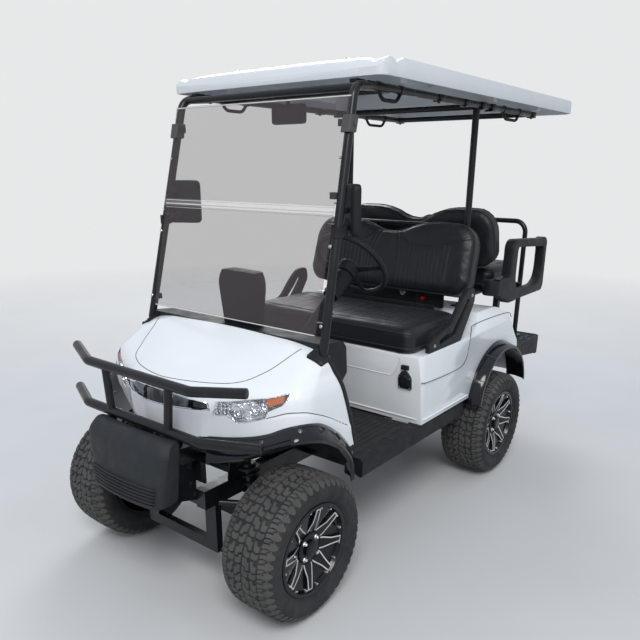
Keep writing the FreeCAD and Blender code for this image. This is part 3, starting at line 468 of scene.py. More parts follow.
def plate(form, outline, place, low, high, edge=2.0, steps=2):
    """A flat outline (a, b) in millimetres, given thickness from low to high, with rounded edges."""
    count = len(outline)
    inward = []
    for i in range(count):
        along = Vector(outline[(i + 1) % count]) - Vector(outline[i - 1])
        inward.append(Vector((-along.y, along.x)).normalized())
    area = sum(a[0] * b[1] - b[0] * a[1] for a, b in zip(outline, list(outline[1:]) + [outline[0]]))
    sign = 1 if area > 0 else -1
    thick = high - low
    edge = min(edge, abs(thick) / 2)
    way = 1 if thick > 0 else -1
    rings = []
    levels = [(low + way * edge * (1 - math.cos(a)), edge * (1 - math.sin(a)))
              for a in (math.pi / 2 * k / steps for k in range(steps + 1))]
    levels += [(high - (level - low), inset) for level, inset in reversed(levels)]
    for level, inset in levels:
        rings.append([place(p[0] + n.x * sign * inset, p[1] + n.y * sign * inset, level)
                      for p, n in zip(outline, inward)])
    return form.skin(rings)


def on_side(y, z, x):
    return at(x, y, z)


def on_plan(x, y, z):
    return at(x, y, z)


def on_front(x, z, y):
    return at(x, y, z)


def modify(thing, kind, **values):
    """Add a modifier with these values and apply it."""
    change = thing.modifiers.new("change", kind)
    for key, value in values.items():
        setattr(change, key, value)
    bpy.context.view_layer.update()
    shaped = thing.evaluated_get(bpy.context.evaluated_depsgraph_get())
    mesh = bpy.data.meshes.new_from_object(shaped)
    thing.modifiers.clear()
    thing.data = mesh


def boolean(thing, form, operation="DIFFERENCE"):
    tool = mesh_piece("tool", form.verts, form.faces)
    modify(thing, "BOOLEAN", object=tool, operation=operation, solver="EXACT")
    bpy.data.objects.remove(tool)


def round_edges(thing, width, segments, degrees):
    modify(thing, "BEVEL", width=width / 1000, segments=segments, limit_method="ANGLE",
           angle_limit=math.radians(degrees))


def prism(outline, place, low, high):
    return Form().skin([[place(a, b, level) for a, b in outline] for level in (low, high)])


def circle(centre, axes, radius, sides):
    """Points around a centre in metres. axes are two unit vectors, radius is in millimetres."""
    across, over = axes
    return [centre + (across * math.cos(a) + over * math.sin(a)) * radius / 1000 for a in around(sides)]


def lathe(form, centre, out, axes, profile, sides, caps=True):
    """A turned form: rows of radius and lift along out, in millimetres."""
    return form.skin([circle(centre + out * lift / 1000, axes, radius, sides) for radius, lift in profile],
                     caps=caps)


def sheet(form, outer, inner):
    """Both layers of a sheet from two grids. It gives back the rows and columns around the rim."""
    rows, columns = len(outer), len(outer[0])
    for grid in (outer, inner):
        form.add([at(*p) for row in grid for p in row],
                 [(a, a + 1, a + columns + 1, a + columns) for r in range(rows - 1)
                  for a in range(r * columns, (r + 1) * columns - 1)])
    rim = [(0, c) for c in range(columns)] + [(r, columns - 1) for r in range(1, rows)]
    rim += [(rows - 1, c) for c in range(columns - 2, -1, -1)] + [(r, 0) for r in range(rows - 2, 0, -1)]
    return rim


def bolt(form, spot, out, radius, tall, sides=6):
    """A bolt head on a washer: spot in metres, sizes in millimetres."""
    out = out.normalized()
    across = out.orthogonal().normalized()
    axes = across, out.cross(across)
    washer = radius * 1.45
    lathe(form, spot, out, axes, ((washer, -1), (washer, tall * 0.2), (radius * 1.3, tall * 0.3)), 16)
    lathe(form, spot, out, axes, ((radius, 0), (radius, tall * 0.85), (radius * 0.85, tall)), sides)


# Tyres and rims

TYRE_STEPS = 96
CROWN_RADIUS = 292
SHOULDER = 86
WALL_RIBS = ((196, 2.6), (205, 2.4), (244, 2.4))  # radius, lift
PITCHES = 24
TREAD_DEPTH = 9.0
CARCASS = (  # out from the tyre's middle, radius
    (102, 179), (106, 190), (117, 203), (124, 217), (127, 232), (125, 248), (119, 262), (110, 274),
    (101, 280), (86, 283), (60, 285), (30, 286), (0, 286.5),
)
# One pitch of the outer half of the tread: outlines of blocks, across and along in millimetres
PITCH_LONG = 2 * math.pi * CROWN_RADIUS / PITCHES
BLOCKS = (
    ((3, 2), (20, 2), (24, 14), (35, 16), (35, 44), (23, 46), (19, 34), (5, 30)),
    ((3, 37), (14, 40), (18, 54), (33, 53), (32, 73), (15, 74), (3, 66)),
    ((41, 5), (53, 3), (56, 20), (69, 17), (70, 40), (57, 45), (46, 39), (44, 24)),
    ((40, 46), (52, 52), (68, 47), (71, 60), (63, 72), (41, 71), (37, 60)),
    ((77, 2), (96, 0), (113, 1), (113, 15), (98, 16), (92, 14), (84, 19), (76, 18)),
    ((78, 24), (88, 19), (113, 20), (113, 34), (92, 34), (76, 36)),
    ((76, 41), (94, 39), (113, 39), (113, 53), (96, 54), (90, 52), (82, 57), (77, 55)),
    ((78, 62), (88, 58), (113, 58), (113, 72), (90, 72), (76, 73)),
)


def tread_radius(across):
    """Outer radius of the tread's blocks at a distance from the tyre's middle."""
    size = abs(across)
    crown = CROWN_RADIUS - 3.0 * (size / SHOULDER) ** 2
    return crown if size < SHOULDER else crown - 0.021 * (size - SHOULDER) ** 2


def wheel_point(hand, middle, across, radius, angle):
    return middle + Vector((hand * across, math.cos(angle) * radius, math.sin(angle) * radius)) / 1000


def tyre(name, hand, middle, body, node):
    def turned(shape):
        return [[wheel_point(hand, middle, a, r, angle) for a, r in shape] for angle in around(TYRE_STEPS)]

    carcass, tread = Form(), Form()
    profile = smooth_line(CARCASS, 3)
    profile += [(-a, r) for a, r in reversed(profile[:-1])] + [(-98, 176), (98, 176)]
    carcass.skin(turned(profile), loop=True)
    for side in (1, -1):
        for radius, lift in WALL_RIBS:
            shape = [(side * (edge_at(radius) - 1.5 + up), radius + along)
                     for along, up in ((-2.2, 0), (-1.2, lift), (1.2, lift), (2.2, 0))]
            carcass.skin(turned(shape), loop=True)
    carcass.make(name + "_carcass", "tyre_rubber", body=body, replaces=(node,))
    for pitch in range(PITCHES):
        for side in (1, -1):
            shift = pitch * PITCH_LONG + (0 if side > 0 else PITCH_LONG * 0.46)
            for block in BLOCKS:
                add_block(tread, hand, middle, block, side, shift)
            for part in (0, 0.5):
                add_side_lug(tread, hand, middle, side, (shift + part * PITCH_LONG + 4) / CROWN_RADIUS)
    tread.make(name + "_tread", "tread_rubber", body=body)


def edge_at(radius):
    """Half width of the carcass at a radius on its wall."""
    for (a, r), (b, s) in zip(CARCASS, CARCASS[1:]):
        if r <= radius <= s:
            return a + (b - a) * (radius - r) / (s - r)
    return CARCASS[0][0]


def add_block(form, hand, middle, block, side, shift):
    """One tread block, with its top edge drawn in a little."""
    outline = rounded_loop(block, 2.2, 1)
    heart = sum(outline, Vector((0, 0))) / len(outline)
    rings = []
    for drop, inset in ((TREAD_DEPTH, -0.7), (1.1, 0.0), (0.0, 0.9)):
        ring = []
        for spot in outline:
            spot = spot - (spot - heart).normalized() * inset
            radius = tread_radius(spot.x) - drop
            lean = max(0.0, (spot.x - SHOULDER) / 27) * drop * 0.45
            ring.append(wheel_point(hand, middle, side * (spot.x - lean), radius,
                                    (spot.y + shift) / CROWN_RADIUS))
        rings.append(ring)
    form.skin(rings)


def add_side_lug(form, hand, middle, side, angle):
    """A low lug on the wall, under the shoulder."""
    width = 0.047
    outline = ((-width, 281), (width, 281), (width * 1.02, 268), (width * 0.5, 257), (-width * 0.4, 259),
               (-width, 270))
    rings = []
    for lift, inset in ((-2, 0), (2.6, 0.0), (3.6, 0.12)):
        rings.append([wheel_point(hand, middle, side * (edge_at(min(r, 279)) + lift), r - (r - 269) * inset,
                                  angle + a * (1 - inset)) for a, r in outline])
    form.skin(rings)


ARMS = 8
ARM_FIRST = math.radians(-9)
STRIP_HALF = 2.6
RIVETS = 16
# Along an arm: radius, half width, out from the rim's middle
ARM_RUN = ((66, 25, 78), (78, 24.5, 83), (114, 16.5, 96), (150, 14.0, 103), (164, 13.0, 105))


def rim_details(name, hand, middle, body):
    """Arms with machined edges, rivets, cap and valve on the rim's face."""
    black, bright = Form(), Form()
    face = RIGHT * hand

    def spot(radius, aside, out, turn):
        along = Vector((0, math.cos(turn), math.sin(turn)))
        side = Vector((0, -math.sin(turn), math.cos(turn)))
        return middle + (along * radius + side * aside + face * out) / 1000

    for turn in around(ARMS):
        turn += ARM_FIRST
        turn = turn if hand > 0 else math.pi - turn
        black.skin([[spot(radius, aside, out - drop, turn) for aside, drop in
                     ((-half, 26), (-half, 2), (1 - half, 0.6), (half - 1, 0.6), (half, 2), (half, 26))]
                    for radius, half, out in ARM_RUN])
        near, far = ([(r, edge * (half - STRIP_HALF), out) for r, half, out in ARM_RUN] for edge in (-1, 1))
        path = near + [(ARM_RUN[-1][0], 0, ARM_RUN[-1][2])] + far[::-1]
        strip = []
        for index, (r, aside, out) in enumerate(path):
            before, after = path[max(index - 1, 0)], path[min(index + 1, len(path) - 1)]
            way = Vector((after[0] - before[0], after[1] - before[1])).normalized()
            corner = 1.3 if index in (len(ARM_RUN) - 1, len(ARM_RUN) + 1) else 1.0
            side = Vector((-way.y, way.x)) * STRIP_HALF * corner
            a, b = Vector((r, aside)) - side, Vector((r, aside)) + side
            strip.append([spot(p.x, p.y, out - drop, turn)
                          for p, drop in ((a, 1.5), (a, 0), (b, 0), (b, 1.5))])
        bright.skin(strip)
    for turn in around(RIVETS):
        lathe(bright, spot(166, 0, 99, turn + math.radians(7)), face, (BACK, UP),
              ((4.6, -8), (4.6, 3), (3.8, 5.5), (1.6, 6.6)), 10)
    lathe(black, middle, face, (BACK, UP),
          ((62, 70), (60, 79), (50, 82), (37, 83), (36, 94), (32, 98), (20, 100), (5, 100.5)), 32)
    for turn in around(4):
        bolt(bright, spot(48, 0, 82, turn + math.radians(45)), face, 7, 12)
    tube(black, [spot(r, 0, out, math.radians(20)) for r, out in ((150, 84), (140, 100), (134, 106))], 4, 8)
    black.make(name + "_arms", "black_rim", body=body)
    bright.make(name + "_machined", "machined", body=body)


def wheels():
    for row in ("front_", "rear_"):
        for hand, side in SIDES:
            node, body = "tyre_" + row + side, "wheel_" + row + side
            tyre("tyre_skin_" + row + side, hand, box_middle(node), body, node)
            rim_details("rim_" + row + side, hand, box_middle(node), body)


wheels()

# Front cowl: sections at heights, in half outlines of brow, corner and side

COWL_SECTIONS = (  # height, nose back, brow (across, back), corner (across, back), side (across, back)
    (600, -222, 236, -150, 486, -36, 552, 60), (760, -237, 246, -164, 498, -44, 560, 52),
    (862, -233, 246, -160, 498, -40, 560, 58), (906, -196, 240, -132, 486, -18, 552, 74),
    (940, -88, 226, -52, 466, 24, 538, 108), (985, 26, 208, 44, 430, 88, 520, 146),
    (1022, 112, 186, 122, 372, 142, 452, 190), (1050, 176, 130, 180, 250, 192, 330, 230),
)
FLARE_EDGE = (  # where the flare meets the cowl, and its lip: across, back, up
    ((231, -173, 715), (268, -222, 634)), ((299, -139, 718), (335, -190, 652)),
    ((372, -104, 728), (401, -160, 671)),
    ((433, -75, 745), (452, -133, 692)), ((496, -45, 777), (541, -91, 734)),
    ((531, -19, 789), (580, -58, 751)),
    ((555, 24, 790), (616, 8, 746)), ((560, 78, 776), (622, 50, 731)), ((560, 128, 751), (622, 92, 708)),
    ((558, 180, 716), (622, 134, 680)), ((556, 233, 668), (622, 180, 634)),
    ((554, 279, 610), (622, 212, 588)),
    ((554, 268, 552), (621, 229, 543)), ((554, 264, 503), (618, 236, 503)),
)
CREASE = ((-195, 811), (-146, 823), (-92, 836), (-37, 838), (19, 832), (81, 809), (148, 776), (217, 735),
          (261, 710))
CREASE_STEP = 4.0
COWL_WALL = 4.0
HOOD_SEAM = ((0, 911), (136, 913), (237, 914), (283, 917), (321, 925), (350, 941), (376, 963), (402, 999),
             (420, 1020))
GRILLE_EDGE = ((-244, 822), (244, 822), (238, 850), (120, 874), (0, 883), (-120, 874), (-238, 850))
LAMP_EDGE = (
    (250, 803), (299, 806), (328, 779), (366, 783), (434, 807), (446, 835), (493, 863), (506, 882),
    (509, 908),
    (436, 885), (305, 863), (262, 858),
)


def cowl_rear(height):
    """The cowl's rear edge, which leans forward with its height."""
    return 182 + (1005 - height) * 0.378


def at_share(rows, t):
    """A row between the given ones, on a smooth run through them."""
    last = len(rows) - 1
    i = min(int(t), last - 1)
    t -= i
    before, start, end, after = (rows[min(max(i + k, 0), last)] for k in (-1, 0, 1, 2))
    return [0.5 * (2 * b + (c - a) * t + (2 * a - 5 * b + 4 * c - d) * t * t
                   + (3 * b - a - 3 * c + d) * t ** 3)
            for a, b, c, d in zip(before, start, end, after)]


def level(pairs, value):
    """Straight reading between pairs of numbers."""
    for (a, p), (b, q) in zip(pairs, pairs[1:]):
        if value <= b:
            return p + (q - p) * max(0.0, (value - a) / (b - a))
    return pairs[-1][1]


def arc_points(start, through, end, steps):
    """Points on the arc through three flat points, without its last one."""
    (ax, ay), (bx, by), (cx, cy) = start, through, end
    d = 2 * (ax * (by - cy) + bx * (cy - ay) + cx * (ay - by))
    ux = ((ax * ax + ay * ay) * (by - cy) + (bx * bx + by * by) * (cy - ay)
          + (cx * cx + cy * cy) * (ay - by)) / d
    uy = ((ax * ax + ay * ay) * (cx - bx) + (bx * bx + by * by) * (ax - cx)
          + (cx * cx + cy * cy) * (bx - ax)) / d
    first, turn = math.atan2(ay - uy, ax - ux), math.atan2(by - uy, bx - ux)
    last = math.atan2(cy - uy, cx - ux)
    radius = math.hypot(ax - ux, ay - uy)
    whole = (last - first) % (2 * math.pi)
    if (turn - first) % (2 * math.pi) > whole:
        whole -= 2 * math.pi
    return [(ux + radius * math.cos(first + whole * k / steps),
             uy + radius * math.sin(first + whole * k / steps))
            for k in range(steps)]


def half_outline(t):
    """The left half of the cowl's outline at a row: (across, back) from the nose to the rear edge."""
    height, nose, brow_x, brow_y, corner_x, corner_y, side_x, side_y = at_share(COWL_SECTIONS, t)
    turn = (corner_x + (side_x - corner_x) * 0.72, corner_y + (side_y - corner_y) * 0.42)
    front = arc_points((-brow_x, brow_y), (0, nose), (brow_x, brow_y), 36)[18:]
    straight = [(brow_x + (corner_x - brow_x) * k / 18, brow_y + (corner_y - brow_y) * k / 18)
                for k in range(18)]
    bend = arc_points((corner_x, corner_y), turn, (side_x, side_y), 20)
    rear = max(cowl_rear(height) + 24, side_y + 12)
    back = [(side_x, side_y + (rear - side_y) * k / 16) for k in range(17)]
    return height, front + straight + bend + back


def smooth_step(value):
    value = min(1.0, max(0.0, value))
    return value * value * (3 - 2 * value)


COWL_ROWS = [half_outline(7 * k / 96) for k in range(97)]


def cowl_back(x, z):
    """How far back the cowl's face is at a place across and a height."""
    for (low, near), (high, far) in zip(COWL_ROWS, COWL_ROWS[1:]):
        if z <= high:
            share = max(0.0, (z - low) / (high - low))
            return level(near, abs(x)) * (1 - share) + level(far, abs(x)) * share
    return level(COWL_ROWS[-1][1], abs(x))


def cowl_grid():
    return [[Vector((-x, y, height)) for x, y in reversed(half[1:])]
            + [Vector((x, y, height)) for x, y in half]
            for height, half in COWL_ROWS]


def grid_normals(grid):
    normals = []
    for r, row in enumerate(grid):
        line = []
        for c in range(len(row)):
            along = row[min(c + 1, len(row) - 1)] - row[max(c - 1, 0)]
            upward = grid[min(r + 1, len(grid) - 1)][c] - grid[max(r - 1, 0)][c]
            line.append(along.cross(upward).normalized())
        normals.append(line)
    return normals


def front_cowl():
    """The cowl as a sheet with a crease over the wheel, cut to its edges and openings."""
    grid = cowl_grid()
    normals = grid_normals(grid)
    for row, line in zip(grid, normals):
        for spot, normal in zip(row, line):
            along = spot.y - (560 - abs(spot.x))
            depth = smooth_step((level(CREASE, along) - spot.z) / 9)
            depth *= smooth_step((along + 205) / 30) * smooth_step((300 - along) / 30)
            spot += normal * CREASE_STEP * depth
    inner = [[spot - normal * COWL_WALL for spot, normal in zip(row, line)]
             for row, line in zip(grid, normals)]
    form = Form()
    rim = sheet(form, grid, inner)
    form.skin([[at(*layer[r][c]) for r, c in rim] for layer in (grid, inner)], caps=False)
    cowl = form.make("cowl", "body_white", replaces=("front_cowl",), sharp=50)
    low = cowl_rear(606)
    below = [(-420, 715)] + [edge[0][1:] for edge in FLARE_EDGE[:12]]
    below += [(low + 2, 606), (low + 90, 606), (low + 90, 400), (-420, 400)]
    behind = [(cowl_rear(560), 560), (cowl_rear(1100), 1100), (700, 1100), (700, 560)]
    far_lamp = [(-x, z) for x, z in LAMP_EDGE]
    for outline, place, near, far in ((below, on_side, -700, 700), (behind, on_side, -700, 700),
                                      (GRILLE_EDGE, on_front, -400, -60), (LAMP_EDGE, on_front, -400, 130),
                                      (far_lamp, on_front, -400, 130)):
        boolean(cowl, prism(outline, place, near, far))
    finish_piece(cowl, "body_white", sharp=50)


def scaled(outline, middle, share, up_share=None):
    """An outline (a, b) drawn in towards a middle."""
    up_share = share if up_share is None else up_share
    return [(middle[0] + (a - middle[0]) * share, middle[1] + (b - middle[1]) * up_share)
            for a, b in outline]


def on_cowl(outline, lift=0.0):
    """An outline (across, up) on the cowl's face, lifted off it towards the front."""
    return [at(x, cowl_back(x, z) - lift, z) for x, z in outline]


def cowl_patch(form, outline, lift, rings=6, edge=0.0):
    """A skin that follows the cowl's face inside an outline, lifted off it towards the front."""
    size = len(outline)
    middle = (sum(x for x, z in outline) / size, sum(z for x, z in outline) / size)
    form.skin([on_cowl(scaled(outline, middle, 1 - ring / rings), lift if ring else lift - edge)
               for ring in range(rings)], caps=False)
    last = len(form.verts)
    form.add(on_cowl([middle], lift), [])
    form.faces += [(last - size + i, last - size + (i + 1) % size, last) for i in range(size)]
    return form


def thicken(thing, amount, paint):
    modify(thing, "SOLIDIFY", thickness=amount / 1000, offset=0)
    finish_piece(thing, paint)


def subdivided(outline, longest):
    """The outline with its long straight sides split."""
    run = []
    for a, b in zip(outline, list(outline[1:]) + [outline[0]]):
        count = max(1, math.ceil(math.dist(a, b) / longest))
        run += [(a[0] + (b[0] - a[0]) * k / count, a[1] + (b[1] - a[1]) * k / count) for k in range(count)]
    return run


# The hood seam's groove is not cut; a dark thin tube on the cowl is its painted shade.
def hood_seam_shade():
    run = smooth_line(HOOD_SEAM, 8)
    full = [(-x, z) for x, z in reversed(run[1:])] + run
    tube(Form(), on_cowl(full, 0.1), 1.5, 6).make("hood_seam_shade", "seam")


front_cowl()
hood_seam_shade()


def grille():
    """The bright strip across the nose, over a shallow housing; its badge place is bare."""
    outline = subdivided(GRILLE_EDGE, 14)
    inner = scaled(outline, (0, 853), 0.985, 0.9)
    strip = cowl_patch(Form(), inner, -3.0, edge=3.0).make("grille_face", "dark_chrome",
                                                           replaces=("grille_strip",))
    thicken(strip, 3, "dark_chrome")
    tube(Form(), on_cowl(inner, 0.2), 2.6, 8, loop=True).make("grille_rim", "bright_trim")
    back = cowl_patch(Form(), [(x * 1.01, z) for x, z in outline], -9.0, 3).make("grille_back",
                                                                                 "black_plastic")
    thicken(back, 3, "black_plastic")


def lamp_bowl(form, x, y, z, radius, depth):
    """A bright reflector bowl that looks ahead."""
    centre = at(x, y, z)
    profile = [(radius * math.cos(a * 0.86), depth * math.sin(a)) for a in even_steps(0, math.pi / 2, 6)]
    lathe(form, centre, BACK, (RIGHT, UP), profile, 28, caps=False)
    tube(form, circle(centre, (RIGHT, UP), radius, 28), 1.8, 8, loop=True)
    tube(form, [at(x, y + depth - 2, z), at(x, y + depth * 0.35, z)], [radius * 0.2, radius * 0.24], 14)


def headlamps():
    """Housing, reflectors, small lights, marker and clear lens on each side."""
    for hand, side in SIDES:
        edge = [(x * hand, z) for x, z in subdivided(LAMP_EDGE, 12)]
        middle = (390 * hand, 845)
        inner = scaled(edge, middle, 0.94, 0.91)
        floor = [at(middle[0] + (x - middle[0]) * 0.5, cowl_back(x, z) + 42,
                    middle[1] + (z - middle[1]) * 0.5)
                 for x, z in inner]
        housing = Form().skin([on_cowl(edge, -1.5), on_cowl(inner, -1.5), on_cowl(inner, -34), floor],
                              caps=False)
        housing.add(floor, [tuple(range(len(floor)))])
        housing.make("headlamp_housing_" + side, "lamp_housing", replaces=once(hand, "headlamps"))
        bright, amber = Form(), Form()
        for x, z, radius, depth in ((337, 822, 24, 20), (392, 840, 27, 24), (424, 846, 17, 16)):
            lamp_bowl(bright, x * hand, cowl_back(x, z) + 9, z, radius, depth)
        for column in range(3):
            for row in range(3):
                small = (274 + column * 13) * hand, 815 + row * 14
                bolt(bright, on_cowl([small], -10)[0], -BACK, 5.2, 5, 8)
        marker = subdivided([(438, 850), (488, 871), (484, 897), (428, 880)], 10)
        cowl_patch(amber, [(x * hand, z) for x, z in marker], -11, 4)
        bright.make("headlamp_reflectors_" + side, "lamp_bright")
        thicken(amber.make("headlamp_marker_" + side, "amber_lens"), 3, "amber_lens")
        lens = cowl_patch(Form(), scaled(edge, middle, 0.985, 0.97), 0.4, 7, 1.6)
        thicken(lens.make("headlamp_lens_" + side, "lamp_lens"), 2, "lamp_lens")


grille()
headlamps()


def front_flares():
    """Sloping gloss flares over the wheels, with bolts in pockets."""
    for hand, side in SIDES:
        body, lip = ([Vector(p[k]) for p in FLARE_EDGE] for k in (0, 1))
        rings = []
        for top, low in zip(run_through(body, 5), run_through(lip, 5)):
            across = (low - top).normalized()
            inward = Vector((0, 0, -1)) if top.z > 700 else Vector((0, -1, -0.5)).normalized()
            inward = (inward - across * across.dot(inward)).normalized()
            drop = Vector((380, 120, low.z - 20)) - low
            drop = (drop - across * across.dot(drop)).normalized() * 6 + inward * 12
            rise = -inward * 5
            section = [top - across * 4, top + across * 4 + rise, top.lerp(low, 0.35) + rise * 1.5,
                       top.lerp(low, 0.7) + rise * 1.2, low - across * 6 + rise * 0.6, low - across * 1.5,
                       low + drop * 0.5, low + drop, low + drop - across * 5, low - across * 7 + inward * 6,
                       top.lerp(low, 0.5) + inward * 3, top - across * 4 + inward * 5]
            rings.append([at(p.x * hand, p.y, p.z) for p in section])
        form = Form().skin(rings)
        form.make("front_flare_" + side, "flare_gloss", replaces=once(hand, "front_flares"))
        pockets, heads = Form(), Form()
        for index in (3, 5.2, 6.6, 9, 11):
            top, low = (Vector(at_share(edge, index)) for edge in (body, lip))
            ahead = Vector(at_share(body, index + 0.3)) - Vector(at_share(body, index - 0.3))
            out = ahead.cross(low - top).normalized()
            if out.z + out.x < 0:
                out = -out
            out.x *= hand
            place = top.lerp(low, 0.42)
            centre = at(place.x * hand, place.y, place.z) + out * 0.006
            bolt(pockets, centre, out, 11, 1.2, 20)
            bolt(heads, centre + out * 0.0012, out, 6, 4)
        pockets.make("front_flare_pockets_" + side, "black_plastic")
        heads.make("front_flare_bolts_" + side, "dark_bolt")


front_flares()

# Front bumper, guard and what stands behind them

BUMPER_SIDE = ((-322, 486), (-412, 480), (-420, 500), (-406, 694), (-398, 716), (-376, 742), (-350, 748),
               (-322, 744))


def front_bumper():
    """The rounded block under the guard, with ribs low on its face."""
    rings = []
    for share in even_steps(-1, 1, 28):
        squeeze = abs(share) ** 14
        ring = []
        for y, z in rounded_loop(BUMPER_SIDE, [8, 14, 14, 20, 20, 20, 20, 8], 3):
            half = 200 + 37 * smooth_step((z - 480) / 220) - 10 * smooth_step((z - 702) / 46)
            back = -322 + (y + 322) * (1 - 0.30 * squeeze)
            high = 614 + (z - 614) * (1 - 0.05 * squeeze)
            ring.append(at(half * share, back + 18 * share * share, high))
        rings.append(ring)
    form = Form().skin(rings)
    bumper = form.make("bumper_block", "bumper_plastic", replaces=("front_bumper",), sharp=60)
    round_edges(bumper, 6, 3, 50)
    finish_piece(bumper, "bumper_plastic", sharp=60)
    ribs = Form()
    for row in range(6):
        z = 503 + row * 13.5
        share = (z - 480) / 222
        half = 186 + 34 * share
        line = [at(x, -424 + share * 14 + 18 * (x / half) ** 2, z) for x in even_steps(-half, half, 24)]
        tube(ribs, line, [0.5] + [4.2] * 23 + [0.5], 8)
    ribs.make("bumper_ribs", "bumper_plastic")


front_bumper()

# Seats: swelled by the cloth solver, then seams, pleats and piping

SEAT_VOXEL = 0.010
SEAT_SHRINK = 5.0
PLEAT_PITCH = 27.0
PLEAT_DEPTH = 4.2
SWELL_FRAMES = 20
SWELL_PRESSURE = 4.0
SWELL_CAP = 11


def arcs(points, steps=6):
    """A closed outline whose four-number rows are arcs through their first pair to their second."""
    run = []
    for row in points:
        if len(row) == 4:
            run += arc_points(run[-1], row[:2], row[2:], steps)[1:] + [row[2:]]
        else:
            run.append(tuple(row))
    return run


def pad_outline(half, depth, front_y, inset):
    x, near, far = half - inset, front_y + inset, front_y + depth - inset
    return box_loop(-x, near, x, far, 66, 7)


def back_outline(half, height, dip, inset):
    x, top, low, hump = half - inset, height - inset, inset, half * 0.5
    return arcs([
        (x - 90, low), (x - 26, low + 26, x, low + 90), (x - 4, top - 130),
        (x - 40, top - 38, x - 140, top - 2),
        (hump + 8, top + 2, hump - 70, top - 6), (hump - 130, top - 24),
        (0, top - dip - 6, -hump + 130, top - 24),
        (-hump + 70, top - 6), (-hump - 8, top + 2, -x + 140, top - 2),
        (-x + 40, top - 38, -x + 4, top - 130),
        (-x, low + 90), (-x + 26, low + 26, -x + 90, low),
    ])


def line_distance(spots, line):
    """How far each flat spot is from a run of points."""
    best = np.full(len(spots), 1e9)
    for a, b in zip(line, line[1:]):
        a, b = np.array(a, float), np.array(b, float)
        way = b - a
        share = np.clip(((spots - a) @ way) / max(way @ way, 1e-9), 0, 1)
        best = np.minimum(best, np.linalg.norm(spots - a - share[:, None] * way, axis=1))
    return best


def inside(spots, outline):
    """Which flat spots are inside an outline."""
    held = np.zeros(len(spots), bool)
    for (ax, ay), (bx, by) in zip(outline, list(outline[1:]) + [outline[0]]):
        crosses = (ay > spots[:, 1]) != (by > spots[:, 1])
        if ay != by:
            held ^= crosses & (spots[:, 0] < (bx - ax) * (spots[:, 1] - ay) / (by - ay) + ax)
    return held


class Cushion:
    """A seat pad in its own millimetres; place turns them into the frame's metres."""

    def __init__(self, node, rings, place, flat, body=CHASSIS):
        self.node, self.place, self.flat, self.body = node, place, flat, body
        form = Form().skin([[Vector(p) / 1000 for p in ring] for ring in rings])
        self.thing = form.make(node + "_pad", "seat_vinyl", body=body, sharp=180)
        modify(self.thing, "REMESH", mode="VOXEL", voxel_size=SEAT_VOXEL, use_smooth_shade=True)

    def points(self):
        mesh = self.thing.data
        spots = np.empty(len(mesh.vertices) * 3)
        mesh.vertices.foreach_get("co", spots)
        return spots.reshape(-1, 3)

    def set_points(self, spots):
        self.thing.data.vertices.foreach_set("co", spots.ravel())
        self.thing.data.update()

    def start_swelling(self):
        cloth = self.thing.modifiers.new("cloth", "CLOTH")
        cloth.settings.use_pressure = True
        cloth.settings.uniform_pressure_force = SWELL_PRESSURE
        cloth.settings.effector_weights.gravity = 0.0
        cloth.settings.quality = 4
        cloth.point_cache.frame_start, cloth.point_cache.frame_end = 1, 30

    def end_swelling(self):
        start = self.points()
        shaped = self.thing.evaluated_get(bpy.context.evaluated_depsgraph_get())
        spots = np.empty(len(shaped.data.vertices) * 3)
        shaped.data.vertices.foreach_get("co", spots)
        self.thing.modifiers.clear()
        moved = spots.reshape(-1, 3) - start
        size = np.linalg.norm(moved, axis=1, keepdims=True)
        moved *= np.minimum(1, SWELL_CAP / 1000 / np.maximum(size, 1e-9))
        self.set_points(start + moved)

    def finish(self, seams, pleats, panel, piping):
        """Seams (line, depth, width), pleats inside a panel, and piping along runs of points."""
        modify(self.thing, "SUBSURF", levels=1)
        mesh = self.thing.data
        normals = np.empty(len(mesh.vertices) * 3)
        mesh.vertices.foreach_get("normal", normals)
        normals = normals.reshape(-1, 3)
        spots = self.points()
        flat = self.flat(spots) * 1000
        facing = np.clip((self.facing(normals) - 0.25) / 0.4, 0, 1)
        depth = np.zeros(len(spots))
        for line, deep, width in seams:
            depth += deep * np.exp(-(line_distance(flat, line) / width) ** 2)
        for outline in panel:
            held = inside(flat, outline)
            edge = np.clip(line_distance(flat, list(outline) + [outline[0]]) / 14, 0, 1)
            wave = np.abs(np.sin(math.pi * (flat[:, 0] - pleats) / PLEAT_PITCH))
            depth += held * edge * PLEAT_DEPTH * (1 - wave) ** 2.2
        spots = spots - normals * (depth * facing / 1000)[:, None]
        self.set_points(spots)
        tree = BVHTree.FromPolygons([Vector(p) for p in spots], [tuple(p.vertices) for p in mesh.polygons])
        cord = Form()
        for run, loop in piping:
            path = []
            for spot in run:
                near = tree.find_nearest(Vector(spot) / 1000)
                path.append(near[0] + near[1] * 0.0012)
            tube(cord, path, 3.4, 6, loop=loop)
        cord.moved(lambda v: self.place @ v)
        mesh.transform(self.place)
        finish_piece(self.thing, "seat_vinyl", self.body, (self.node,), 180)
        if cord.verts:
            cord.make(self.node + "_piping", "piping", body=self.body)

    def facing(self, normals):
        return normals[:, 2] if self.flat is top_view else -normals[:, 1]


def top_view(spots):
    return spots[:, (0, 1)]


def front_view(spots):
    return spots[:, (0, 2)]


def base_rings(half, depth, thick, low, front_y):
    rings = []
    for height, inset in ((low, 10), (low + 8, 3), (low + thick - 40, 2), (low + thick - 24, 7),
                          (low + thick - 11, 17), (low + thick - 4, 36)):
        rings.append([(p[0], p[1], height) for p in pad_outline(half, depth, front_y, inset + SEAT_SHRINK)])
    return rings


def back_rings(half, height, dip, thick):
    rings = []
    for y, inset in ((5, 34), (10, 14), (20, 6), (34, 2), (thick - 24, 2), (thick - 10, 7), (thick - 4, 16)):
        rings.append([(x, y, z) for x, z in back_outline(half, height, dip, inset + SEAT_SHRINK)])
    return rings


